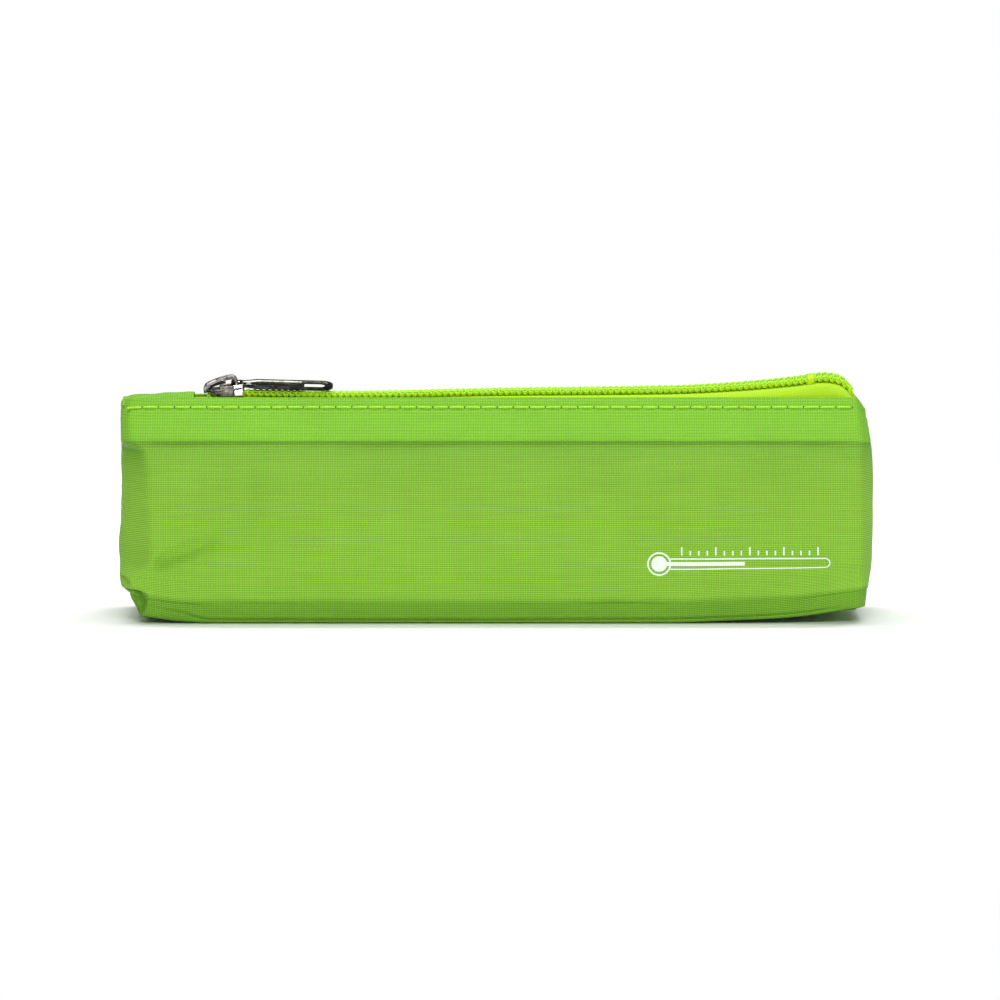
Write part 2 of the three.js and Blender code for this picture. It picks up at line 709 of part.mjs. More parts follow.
function pullerPlate() {
  const barHalf = PULLER_BAR / 2;
  const tip = PULLER_LENGTH - barHalf;
  const neckHalf = PULLER_NECK_WIDTH / 2;
  const plateHalf = PULLER_WIDTH / 2;
  const eye = CROWN_WIDTH / 2 + PULLER_RUNNING_GAP;
  const eyeEnd = barHalf + PULLER_EYE_LENGTH;
  const arc = (centre, radius) =>
    Array.from({ length: PULLER_END_STEPS + 1 }, (_, i) => {
      const angle = (i / PULLER_END_STEPS - 0.5) * Math.PI;
      return [centre + radius * Math.cos(angle), radius * Math.sin(angle)];
    });
  const outline = [
    [-barHalf, neckHalf],
    [-barHalf, -neckHalf],
    [eyeEnd + barHalf, -neckHalf],
    [eyeEnd + plateHalf, -plateHalf],
    ...arc(tip - plateHalf, plateHalf),
    [eyeEnd + plateHalf, plateHalf],
    [eyeEnd + barHalf, neckHalf],
  ];
  const eyeHole = [
    [barHalf, -eye],
    [barHalf, eye],
    [eyeEnd - eye / 2, eye],
    [eyeEnd, eye / 2],
    [eyeEnd, -eye / 2],
    [eyeEnd - eye / 2, -eye],
  ];
  const slotHalf = PULLER_SLOT_WIDTH / 2;
  const slotEnd = tip - (plateHalf - slotHalf) * 2;
  const slotStart = slotEnd - PULLER_SLOT_LENGTH;
  const slotHole = [
    [slotStart, -slotHalf],
    [slotStart, slotHalf],
    ...arc(slotEnd - slotHalf, slotHalf).reverse(),
  ];
  const thicknessHalf = PULLER_THICKNESS / 2;
  const plate = toSolid(slab(outline, -thicknessHalf, thicknessHalf));
  const through = thicknessHalf + CUT_OVERRUN;
  const holes = toSolid(slab(eyeHole, -through, through)).add(toSolid(slab(slotHole, -through, through)));
  return fromSolid(plate.subtract(holes));
}

part.updateMatrixWorld(true);
const puller = new THREE.Group();
puller.position.copy(slider.localToWorld(new THREE.Vector3(HINGE_X, 0, HINGE_HEIGHT)));
puller.rotation.order = "YXZ";
puller.rotation.y = PULLER_DROOP;
puller.rotation.x = PULLER_ROLL;
part.add(puller);
addPiece(puller, "puller", pullerPlate(), NICKEL);

// Fabric tab over the closed end of the zip, rounded like the end of the case under it
const TAB_END_STEPS = 8;

function zipEndTab() {
  const half = wallDepth(1) + FABRIC_THICKNESS;
  const tip = -wallLength(1);
  const inner = TAB_LENGTH - HALF_LENGTH;
  const outline = [
    [inner, -half],
    [inner, half],
  ];
  for (let i = 0; i <= TAB_END_STEPS; i++) {
    const angle = (0.5 + i / TAB_END_STEPS) * Math.PI;
    outline.push([tip + half * (1 + Math.cos(angle)), half * Math.sin(angle)]);
  }
  const low = FABRIC_HEIGHT + TAB_CLEARANCE;
  return slab(outline, low, low + FABRIC_THICKNESS);
}

addPiece(pouch, "left_zip_end_tab", zipEndTab(), FABRIC);

// Topstitch: one thread, full on each stitch and drawn in at each needle hole
const STITCH_LIFT = 0.1;
const STITCH_WAIST_SHARE = 0.45;

function topstitch() {
  const share = shareAt(FABRIC_HEIGHT - STITCH_DROP);
  const [out, up] = profileNormal(wallDepth, share);
  const reach = HALF_SPAN - SEAM_GAP;
  const stitches = Math.floor((2 * reach) / STITCH_PITCH);
  const start = (-stitches * STITCH_PITCH) / 2;
  const rings = [];
  for (let i = 0; i <= 2 * stitches; i++) {
    const size = STITCH_THREAD * (i % 2 ? 1 : STITCH_WAIST_SHARE);
    const [y, z] = wallPoint(share, -HEM_PROUD - STITCH_LIFT);
    const x = start + (i * STITCH_PITCH) / 2;
    const corner = (along, lift) =>
      new THREE.Vector3(x, -(y + lift * out - along * up), z + lift * up + along * out);
    const side = size / 2;
    rings.push([corner(side, 0), corner(side, size), corner(-side, size), corner(-side, 0)]);
  }
  return ringBar(rings);
}

addPair("topstitch", topstitch(), THREAD);

// Binding over the raw edges inside each end: up the front, across the floor and up the back
function seamBinding(side) {
  const depth = INNER_DEPTH + LAYER_GAP;
  const outer = FOAM_ROWS.map((share) => wallPoint(share, depth));
  const inner = FOAM_ROWS.map((share) => wallPoint(share, depth + BINDING_THICKNESS));
  const outline = [
    ...outer.map(([y, z]) => [-y, z]).reverse(),
    [-outer[0][0], WALL_FOOT],
    [outer[0][0], WALL_FOOT],
    ...outer,
    ...inner.slice(1).reverse(),
    [inner[0][0], WALL_FOOT + BINDING_THICKNESS],
    [-inner[0][0], WALL_FOOT + BINDING_THICKNESS],
    ...inner.slice(1).map(([y, z]) => [-y, z]),
  ];
  const far = HALF_SPAN - LAYER_GAP;
  const near = far - BINDING_WIDTH;
  return side < 0 ? crossSlab(outline, -far, -near) : crossSlab(outline, near, far);
}

addPiece(pouch, "left_seam_binding", seamBinding(-1), BINDING);
addPiece(pouch, "right_seam_binding", seamBinding(1), BINDING);

// Gel ice pack: two films sealed round their edge, with the gel between them
const PACK_LINE_SHARES = [-1, -0.86, -0.55, 0, 0.55, 0.86, 1];
const PACK_BELLY_SHARE = 0.38;
const GEL_REACH_SHARE = 0.93;
const GEL_SWELL_SHARE = 0.84;

function packFace(reachShare, height) {
  const fullX = PACK_LENGTH / 2 - PACK_SEAL;
  const fullY = PACK_WIDTH / 2 - PACK_SEAL;
  const sealed = reachShare === 1;
  const line = sealed ? [-1, ...PACK_LINE_SHARES, 1] : PACK_LINE_SHARES;
  const last = line.length - 1;
  const place = (index, full) => {
    const margin = sealed && (index === 0 || index === last) ? PACK_SEAL : 0;
    return line[index] * (full * reachShare + margin);
  };
  const indices = line.map((_, i) => i);
  return grid(indices, indices, (row, column) => {
    const x = place(column, fullX);
    const y = place(row, fullY);
    const swell = (value, full) => 1 - Math.min(Math.abs(value) / full, 1) ** 3;
    return new THREE.Vector3(x, y, height(swell(x, fullX) * swell(y, fullY)));
  });
}

const PACK_BULGE = PACK_THICKNESS - 2 * PACK_FILM - LAYER_GAP;
const PACK_BELLY = PACK_BULGE * PACK_BELLY_SHARE;
const PACK_CROWN = PACK_BULGE - PACK_BELLY;
const SEAL_HEIGHT = INNER_DEPTH + LAYER_GAP + PACK_BELLY;
const UPPER_SEAL = SEAL_HEIGHT + PACK_FILM + LAYER_GAP;
const lowerFilm = (lift) => packFace(1, (swell) => SEAL_HEIGHT - PACK_BELLY * swell + lift);
const upperFilm = (lift) => packFace(1, (swell) => UPPER_SEAL + PACK_CROWN * swell + lift);
const gelFace = (foot, bulge) => packFace(GEL_REACH_SHARE, (swell) => foot + bulge * GEL_SWELL_SHARE * swell);
const gelTop = gelFace(UPPER_SEAL - LAYER_GAP, PACK_CROWN);
const gelFoot = gelFace(SEAL_HEIGHT + PACK_FILM + LAYER_GAP, -PACK_BELLY);
addPiece(pouch, "gel_pack_lower_film", sheetGeometry(lowerFilm(PACK_FILM), lowerFilm(0)), FILM);
addPiece(pouch, "gel_pack_upper_film", sheetGeometry(upperFilm(PACK_FILM), upperFilm(0)), FILM);
addPiece(pouch, "gel_fill", sheetGeometry(gelTop, gelFoot), GEL);

export default part;
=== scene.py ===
"""Looks of a soft insulated pouch for insulin pens: lime woven fabric, a zip on top, a gel pack inside.

Lengths are in millimetres and turned into metres where a mesh is made. +X runs along the zip, from the closed
slider to the other end; the front faces -Y and +Z is up.
"""

import json
import math

import bmesh
import bpy
import numpy as np
from mathutils import Matrix, Vector


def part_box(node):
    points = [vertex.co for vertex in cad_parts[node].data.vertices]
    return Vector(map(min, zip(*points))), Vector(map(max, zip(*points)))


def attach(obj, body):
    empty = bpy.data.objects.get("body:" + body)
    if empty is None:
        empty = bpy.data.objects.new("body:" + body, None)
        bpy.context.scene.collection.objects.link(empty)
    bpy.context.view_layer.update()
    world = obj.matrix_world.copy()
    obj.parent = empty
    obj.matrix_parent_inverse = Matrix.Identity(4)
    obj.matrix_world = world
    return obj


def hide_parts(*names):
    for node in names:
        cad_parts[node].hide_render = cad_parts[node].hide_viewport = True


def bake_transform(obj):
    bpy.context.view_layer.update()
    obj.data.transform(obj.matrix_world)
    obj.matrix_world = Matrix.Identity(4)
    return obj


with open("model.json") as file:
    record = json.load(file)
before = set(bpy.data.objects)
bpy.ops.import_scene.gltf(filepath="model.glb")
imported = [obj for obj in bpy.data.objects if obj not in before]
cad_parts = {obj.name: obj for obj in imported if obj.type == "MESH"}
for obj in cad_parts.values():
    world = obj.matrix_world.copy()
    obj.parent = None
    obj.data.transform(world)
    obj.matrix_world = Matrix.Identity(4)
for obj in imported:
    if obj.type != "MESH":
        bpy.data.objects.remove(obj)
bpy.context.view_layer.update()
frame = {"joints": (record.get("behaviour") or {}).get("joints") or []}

MM = 0.001
SEED = 7

# Camera: straight at the front, a little above the table
ELEVATION = math.radians(5.5)
LENS = 300
SENSOR = 36
PIXELS_PER_MM = 3.75
IMAGE_SIZE = 1000
VIEW_X = 0.8
VIEW_UP = 30.88
VIEW_DEPTH = -22.8


def box_mm(node):
    low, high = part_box(node)
    return np.array(low) / MM, np.array(high) / MM


front_low, front_high = box_mm("front_panel")
_, end_high = box_mm("right_end_panel")
HALF_LENGTH = float(end_high[0])
HALF_DEPTH = float(end_high[1])
FOOT = float(front_low[2])
EDGE = float(front_high[2])
HEM_HEIGHT = 10.6
CREASE = EDGE - HEM_HEIGHT
STITCH_DROP = 2.1
STITCH_PITCH = 4.32
STITCH_THREAD = 0.55


# Curves and noise

def curve(rows):
    """A smooth curve through rows of (at, value) that never overshoots them."""
    at = np.array([row[0] for row in rows], float)
    value = np.array([row[1] for row in rows], float)
    step = np.diff(at)
    slope = np.diff(value) / step
    tangent = np.zeros(len(at))
    tangent[0], tangent[-1] = slope[0], slope[-1]
    for i in range(1, len(at) - 1):
        if slope[i - 1] * slope[i] > 0:
            a = 2 * step[i] + step[i - 1]
            b = step[i] + 2 * step[i - 1]
            tangent[i] = (a + b) / (a / slope[i - 1] + b / slope[i])

    def value_at(x):
        x = np.clip(x, at[0], at[-1])
        i = np.clip(np.searchsorted(at, x, side="right") - 1, 0, len(step) - 1)
        t = (x - at[i]) / step[i]
        return (
            value[i] * (1 + 2 * t) * (1 - t) ** 2
            + value[i + 1] * t * t * (3 - 2 * t)
            + step[i] * tangent[i] * t * (1 - t) ** 2
            + step[i] * tangent[i + 1] * t * t * (t - 1)
        )

    return value_at


def smooth(low, high, x):
    t = np.clip((x - low) / (high - low), 0, 1)
    return t * t * (3 - 2 * t)


def bump(x, centre, width):
    return np.exp(-(((x - centre) / width) ** 2))


def field(u, v, size, seed, waves=14):
    """A smooth random field from -1 to 1 whose features are about one size long."""
    rng = np.random.default_rng(SEED + seed)
    total = np.zeros(np.broadcast(u, v).shape)
    for _ in range(waves):
        angle = rng.uniform(0, 2 * math.pi)
        phase = rng.uniform(0, 2 * math.pi)
        pace = rng.uniform(0.6, 1.4) * 2 * math.pi / size
        total += np.sin((u * math.cos(angle) + v * math.sin(angle)) * pace + phase)
    return total / math.sqrt(waves) / 1.6


def unit(vectors):
    return vectors / np.maximum(np.linalg.norm(vectors, axis=-1, keepdims=True), 1e-9)


def run_along(points):
    """The distance along a path to each of its points."""
    return np.concatenate([[0], np.cumsum(np.linalg.norm(np.diff(points, axis=0), axis=-1))])


# Meshes

def mesh_of(name, points, faces):
    """A mesh of points in millimetres."""
    mesh = bpy.data.meshes.new(name)
    mesh.from_pydata((np.asarray(points).reshape(-1, 3) * MM).tolist(), [], faces)
    return mesh


def show(name, data):
    shown = bpy.data.objects.new(name, data)
    bpy.context.scene.collection.objects.link(shown)
    return shown


def make_piece(name, points, faces, material, uvs=None):
    """A smooth piece of points in millimetres. uvs holds one (u, v) per point."""
    mesh = mesh_of(name, points, faces)
    if uvs is not None:
        layer = mesh.uv_layers.new(name="UVMap")
        loops = np.zeros(len(mesh.loops), int)
        mesh.loops.foreach_get("vertex_index", loops)
        layer.uv.foreach_set("vector", (np.asarray(uvs)[loops] * MM).astype(np.float32).ravel())
    mesh.polygons.foreach_set("use_smooth", [True] * len(mesh.polygons))
    mesh.materials.append(material)
    mesh.update()
    return show(name, mesh)


def grid_faces(rows, columns, flip=False, wrap=False):
    faces = []
    for r in range(0, (rows - 1) * columns, columns):
        for c in range(columns if wrap else columns - 1):
            d = (c + 1) % columns
            quad = (r + c, r + d, r + columns + d, r + columns + c)
            faces.append(quad[::-1] if flip else quad)
    return faces


def tube_faces(rings, around, flip=False):
    """Faces of a closed tube: its skin and the cap at each end."""
    last = (rings - 1) * around
    caps = [tuple(range(around))[::-1], tuple(range(last, last + around))]
    return grid_faces(rings, around, flip, wrap=True) + [cap[::-1] if flip else cap for cap in caps]


def shifted(faces, start):
    return [tuple(start + i for i in face) for face in faces]


def grid_piece(name, points, material, uvs, flip=False):
    """A piece of rows of points, with one (u, v) for each."""
    return make_piece(name, points, grid_faces(*points.shape[:2], flip), material, uvs.reshape(-1, 2))


def thicken(piece, thickness, offset=-1, rim=False):
    solid = piece.modifiers.new("thickness", "SOLIDIFY")
    solid.thickness = thickness * MM
    solid.offset = offset
    solid.use_even_offset = False
    solid.use_rim = rim
    return piece


# Wall: shares of half the depth and half the length, by height share, 0 at the wall's foot and 1 at its edge

depth_share = curve([
    (0, 0.955), (0.06, 0.978), (0.22, 1), (0.4, 0.982), (0.56, 0.905), (0.69, 0.79), (0.8, 0.64),
    (0.92, 0.42), (1, 0.27),
])
length_share = {
    -1: curve([
        (0, 0.984), (0.03, 0.998), (0.07, 1.004), (0.17, 1.01), (0.25, 1.012), (0.57, 1.007), (0.8, 1.006),
        (0.93, 1.008), (1, 1.006),
    ]),
    1: curve([
        (0, 0.988), (0.045, 0.992), (0.09, 0.995), (0.17, 1), (0.37, 1.006), (0.57, 1.006), (0.69, 1.005),
        (0.77, 1.001), (0.85, 0.997), (0.93, 0.992), (1, 0.986),
    ]),
}
run_shares = np.linspace(0, 1, 400)
run_lengths = run_along(np.stack([HALF_DEPTH * depth_share(run_shares), run_shares * (EDGE - FOOT)], axis=-1))


def height_share(height):
    return (height - FOOT) / (EDGE - FOOT)


def cloth_run(height):
    """Distance up the cloth from the wall's foot to a height."""
    return np.interp(height_share(np.asarray(height, float)), run_shares, run_lengths)


# How far the corner is cut back along the front and along the end, by height share, for each end and side
corner_front = {
    (-1, -1): curve([
        (0, 2), (0.08, 2), (0.11, 3.2), (0.17, 7.6), (0.22, 8.8), (0.5, 8), (0.755, 6.2), (0.8, 3), (1, 2.4),
    ]),
    (1, -1): curve([(0, 2.2), (0.2, 3), (0.7, 3.4), (0.82, 2.4), (1, 2.2)]),
    (-1, 1): curve([(0, 2.5), (0.2, 5), (0.7, 6), (0.82, 2.6), (1, 2.4)]),
    (1, 1): curve([(0, 2.5), (0.2, 4), (0.7, 5), (0.82, 2.4), (1, 2.2)]),
}
corner_end = {
    (-1, -1): curve([(0, 3), (0.1, 4), (0.2, 9), (0.755, 8.6), (0.8, 3.4), (1, 2.6)]),
    (1, -1): curve([(0, 3), (0.2, 6), (0.7, 6), (0.82, 3), (1, 2.4)]),
    (-1, 1): curve([(0, 3), (0.2, 6), (0.7, 7), (0.82, 3), (1, 2.6)]),
    (1, 1): curve([(0, 3), (0.2, 6), (0.7, 6), (0.82, 3), (1, 2.4)]),
}
CORNER_RADIUS = {(-1, -1): 1.3, (1, -1): 1.2, (-1, 1): 1.5, (1, 1): 1.5}
INNER_RADIUS = 3.5
INNER_CUT = 2.6
END_RADIUS = 3.5

# Columns of the wall from its middle round to the middle of the end: the stretch, and the share of it
FLAT_COLUMNS = 96
FLAT_CROWDING = 1.35


def wall_columns():
    flat = [(0, 1 - (1 - i / FLAT_COLUMNS) ** FLAT_CROWDING) for i in range(FLAT_COLUMNS)]
    turn = [(1, i / 6) for i in range(6)]
    cut = [(2, i / 14) for i in range(14)]
    bend = [(3, i / 6) for i in range(6)]
    end = [(4, i / 16) for i in range(17)]
    return flat + turn + cut + bend + end


def section(sx, sy, share, columns, inner=False):
    """One quarter of the case seen from above, by height share: x and y of each column, both outward."""
    cut_front = corner_front[sx, sy](share) + (INNER_CUT if inner else 0)
    cut_end = corner_end[sx, sy](share) + (INNER_CUT if inner else 0)
    depth = HALF_DEPTH * depth_share(share)
    length = HALF_LENGTH * length_share[sx](share)
    cut = np.hypot(cut_front, cut_end)
    first = np.minimum(INNER_RADIUS if inner else CORNER_RADIUS[sx, sy], 0.45 * cut)
    second = np.minimum(np.minimum(END_RADIUS, 0.45 * cut), 0.9 * (depth - cut_end))
    ux, uy = cut_front / cut, -cut_end / cut
    bx, by = length - cut_front, depth
    cx, cy = length, depth - cut_end
    a = [(bx - first, by), (bx, by), (bx + first * ux, by + first * uy)]
    b = [(cx - second * ux, cy - second * uy), (cx, cy), (cx, cy - second)]
    x = np.zeros((len(depth), len(columns)))
    y = np.zeros_like(x)

    def arc(p, t):
        return [p[0][k] * (1 - t) ** 2 + p[1][k] * 2 * t * (1 - t) + p[2][k] * t * t for k in (0, 1)]

    for i, (stretch, t) in enumerate(columns):
        if stretch == 0:
            x[:, i], y[:, i] = t * a[0][0], depth
        elif stretch == 1:
            x[:, i], y[:, i] = arc(a, t)
        elif stretch == 2:
            x[:, i], y[:, i] = [a[2][k] + (b[0][k] - a[2][k]) * t for k in (0, 1)]
        elif stretch == 3:
            x[:, i], y[:, i] = arc(b, t)
        else:
            x[:, i], y[:, i] = cx, b[2][1] * (1 - t)
    return x, y


# Rises and falls of the whole outline along the case

edge_drop = {
    -1: curve([(0, 0), (92, 0), (98, 0.15), (100.5, 0.6)]),
    1: curve([(0, 0), (93, 0), (96.2, 0.15), (97.5, 1.3), (98.9, 3.2)]),
}
base_lift = {
    -1: curve([(0, 0), (76, 0), (86, 0.5), (92, 1.4), (98, 2.6)]),
    1: curve([(0, 0), (46, 0), (62, 0.6), (72, 1), (80, 1.6), (90, 3), (95, 3.8), (99, 4.3)]),
}


def heights(height, sx, along):
    """Heights of points whose plain heights are given, at distances along the case from its middle."""
    top = smooth(EDGE - 14, EDGE, height)
    foot = 1 - smooth(2, 20, height)
    return height - edge_drop[sx](along) * top + base_lift[sx](along) * foot


# Folds at a boxed corner, seen from the front: x from the middle of the case, and height

CURL = np.array([
    (-91.5, 15.6), (-94.8, 13.2), (-97.1, 11.6), (-97.7, 10.6), (-97, 9.6), (-95, 8.9), (-93.7, 7.9),
    (-93.2, 6.5), (-93.6, 4.6), (-94.3, 2.2),
])
RECESS = np.array([
    (-98.1, 9.1), (-96.4, 8.9), (-94.9, 8.6), (-93.7, 7.9), (-93.2, 6.5), (-93.6, 4.6), (-94.3, 2.2),
    (-94.6, -6), (-104, -6), (-104, 9.4),
])
FACET = np.array([
    (-98.8, 12.4), (-97.7, 11.4), (-97.6, 10.4), (-97, 9.6), (-95.4, 9.05), (-93.8, 8.2), (-94.9, 8.45),
    (-96.4, 8.7), (-98.1, 8.9), (-101, 9.2), (-101, 12.6),
])
CREASE_UNDER = np.array([(-98.6, 8.95), (-96.4, 8.8), (-94.9, 8.5), (-93.8, 8)])
# The folds begin at the first of these distances from the middle of the end, and are full at the second
FOLD_FADE = (5, 14)


def to_line(x, z, line):
    """Distance from points to an open line of points."""
    best = np.full(np.shape(x), 1e9)
    for a, b in zip(line[:-1], line[1:]):
        d = b - a
        t = np.clip(((x - a[0]) * d[0] + (z - a[1]) * d[1]) / (d @ d), 0, 1)
        best = np.minimum(best, np.hypot(x - a[0] - t * d[0], z - a[1] - t * d[1]))
    return best


def inside(x, z, ring):
    result = np.zeros(np.shape(x), bool)
    for a, b in zip(ring, np.roll(ring, -1, axis=0)):
        crosses = (a[1] > z) != (b[1] > z)
        with np.errstate(divide="ignore", invalid="ignore"):
            at = (b[0] - a[0]) * (z - a[1]) / (b[1] - a[1]) + a[0]
        result ^= crosses & (x < at)
    return result


def corner_fold(x, z, strength):
    """How far the fabric sinks back at a boxed corner whose outline lies at -x."""
    recess = np.where(inside(x, z, RECESS), smooth(0, 0.7, to_line(x, z, CURL[4:])), 0)
    facet = np.where(inside(x, z, FACET), smooth(0, 0.9, to_line(x, z, CURL[:8])), 0)
    crease = bump(to_line(x, z, CREASE_UNDER), 0, 0.35)
    ridge = np.where(inside(x, z, RECESS) | inside(x, z, FACET), 0, bump(to_line(x, z, CURL[1:]), 0.9, 0.9))
    return strength * (3.9 * recess + 1.3 * facet + 2.4 * crease - 0.55 * ridge)


def fold_back(sy, px, py, pz, strength):
    """How far each point moves across the case where a corner is folded."""
    return sy * corner_fold(-np.abs(px), pz, strength) * smooth(*FOLD_FADE, np.abs(py))


FOLD_STRENGTH = {(-1, -1): 1, (1, 1): 0.5}
FOOT_CREASE = {
    -1: curve([(0, 0.9), (76, 1), (80, 1.6), (84, 2.7), (89, 3.3), (92, 3.6), (96, 3.4)]),
    1: curve([(0, 0.9), (60, 1.3), (80, 1.9), (90, 2.6), (96, 3)]),
}


# Soft channels that fan out from the base's corners: their start, then each one's length, rise and depth
CHANNEL_START = 92.5
CHANNEL_HEIGHT = 15.4
CHANNELS = {
    (-1, -1): (30, 0.45, 2.3), (1, -1): (20, 0.5, 0.35), (-1, 1): (28, 0.55, 0.6), (1, 1): (26, 0.5, 0.7),
}


def channel(sx, sy, along, height, to_seam):
    """How far every layer sinks where a channel runs up from the corner."""
    length, turn, deep = CHANNELS[sx, sy]
    from_corner = CHANNEL_START - abs(along)
    run = from_corner / length
    width = 1.5 + 2.9 * np.clip(run, 0, 1)
    ends = smooth(0, 0.12, run) * (1 - smooth(0.3, 1, run)) * smooth(0, 5, to_seam)
    return deep * ends * bump(height, CHANNEL_HEIGHT + from_corner * turn, width)


HEM_STAND = 0.36
STITCH_PULL = 0.16
SEAM_SINK = 1.1


def relief(sx, sy, along, height, to_seam):
    """How far the fabric stands out from its plain shape, by place. along is signed and follows the cloth."""
    low = height < EDGE
    hem = smooth(CREASE - 0.2, CREASE + 0.25, height) * low
    middle = 1 - 0.75 * smooth(84, 98, abs(along))
    out = HEM_STAND * hem * middle
    out -= 0.08 * middle * bump(height, CREASE - 0.6, 0.5) * low
    out -= STITCH_PULL * bump(height, EDGE - STITCH_DROP, 0.5)
    soft = 1 - smooth(CREASE - 3, CREASE + 1, height)
    fade = smooth(0, 5, to_seam)
    seed = 0 if sy < 0 else 20
    wide = field(along, height, 46, seed + 1) * 0.45
    mid = field(along * 0.8, height * 1.3, 17, seed + 2) * 0.16
    band = field(along, height * 0.4, 24, seed + 3) * 0.10
    out += fade * (soft * (wide + mid) + (1 - soft) * band)
    out += 0.5 * soft * bump(abs(along), 84, 9) * bump(height, 8, 6) * (sx < 0)
    # Seam up the middle of each end
    out -= SEAM_SINK * bump(to_seam, 0, 0.7) * (1 - smooth(EDGE - 4, EDGE, height)) * low
    out += 0.2 * bump(to_seam, 2, 1.1) * low * (1 + 0.3 * np.sin(height * 1.7 + sx))
    return out


# Heights of the wall's rows, close together where the cloth folds

def wall_rows():
    stops = [
        (FOOT, 14.5, 24), (14.5, CREASE - 4, 26), (CREASE - 4, CREASE - 1.6, 5),
        (CREASE - 1.6, CREASE + 0.6, 12), (CREASE + 0.6, EDGE - 3.2, 9), (EDGE - 3.2, EDGE - 1, 8),
        (EDGE - 1, EDGE, 4),
    ]
    rows = [FOOT]
    for low, high, count in stops:
        rows += [low + (high - low) * (i + 1) / count for i in range(count)]
    return rows


# The hem's fold, from its edge down inside: how far in, and how far down from the edge; then cloth per row
HEM_FOLD = [
    (0.05, -0.18), (0.22, -0.36), (0.5, -0.44), (0.78, -0.36), (0.98, -0.15), (1.1, 0.3), (1.25, 2), (1.3, 5),
    (1.3, 9),
]
FOLD_STEP = 0.4
# The base from the wall's foot to its flat: how far in at the front, how far in at the end, and how high
HEEL_STEPS = 30
HEEL_IN = curve([(0, 0), (0.25, 0.12), (0.5, 0.4), (0.75, 1.1), (0.9, 3), (1, 7.6)])
HEEL_END = curve([(0, 0), (0.25, 0.5), (0.5, 1.9), (0.75, 2.8), (0.9, 4), (1, 7.6)])
HEEL_UP = curve([(0, FOOT), (0.25, 3.6), (0.5, 1.7), (0.75, 0.38), (0.9, 0.05), (1, 0)])
# The share of the heel's curve that each end of the case has
END_TUCK = {-1: 1, 1: 0.15}
HEEL = [
    (float(HEEL_IN(t)), float(HEEL_END(t)), float(HEEL_UP(t)))
    for t in np.arange(1, HEEL_STEPS + 1) / HEEL_STEPS
]
FLAT_INSETS = [10, 13, 16, 19, 22]


def outward(x, y, sx, sy):
    """Unit normals in plan of a quarter's columns."""
    dx = np.gradient(x, axis=1)
    dy = np.gradient(y, axis=1)
    size = np.maximum(np.hypot(dx, dy), 1e-9)
    return sx * -dy / size, sy * dx / size


def wall_quarter(sx, sy, sink=0.0, rows=None, relief_share=1.0, columns=None, fold=True):
    """Points of one quarter of the wall, sunk below the outer face, with the cloth's own coordinates."""
    plain = np.array(wall_rows() if rows is None else rows)
    inward = np.zeros(len(plain))
    top = plain.copy()
    if fold:
        deep, down = np.array(HEM_FOLD).T
        plain = np.concatenate([plain, EDGE - np.maximum(down, 0)])
        top = np.concatenate([top, EDGE - down])
        inward = np.concatenate([inward, deep])
    over = inward > 0
    x, y = section(sx, sy, height_share(plain), wall_columns() if columns is None else columns, sink > 0)
    steps = np.hypot(np.diff(x), np.diff(y))
    along = np.concatenate([np.zeros((len(x), 1)), np.cumsum(steps, axis=1)], axis=1)
    nx, ny = outward(x, y, sx, sy)
    height = np.repeat(plain[:, None], x.shape[1], axis=1)
    to_seam = along[:, -1:] - along
    stand = relief_share * relief(sx, sy, sx * along, height, to_seam)
    stand = stand - channel(sx, sy, along, height, to_seam)
    stand[over] = stand[len(plain) - over.sum() - 1]
    stand = stand - sink - inward[:, None]
    px = sx * x + nx * stand
    py = sy * y + ny * stand
    pz = heights(np.repeat(top[:, None], x.shape[1], axis=1), sx, x)
    strength = FOLD_STRENGTH.get((sx, sy), 0) * (2 - relief_share)
    if strength:
        py = py - fold_back(sy, px, py, pz, strength)
        # The inner layers are drawn further in, behind the folds
        if sink > 0:
            draw = 4 * (1 - smooth(13, 19, pz)) * smooth(82, 90, np.abs(px))
            px = px - sx * draw
            py = py - sy * draw * smooth(5, 9, np.abs(py))
    run = cloth_run(plain)
    run[over] = cloth_run(EDGE) + np.arange(1, over.sum() + 1) * FOLD_STEP
    v = np.repeat(run[:, None], x.shape[1], axis=1)
    return np.stack([px, py, pz], axis=-1), np.stack([sx * along * -sy, v], axis=-1)


# Materials

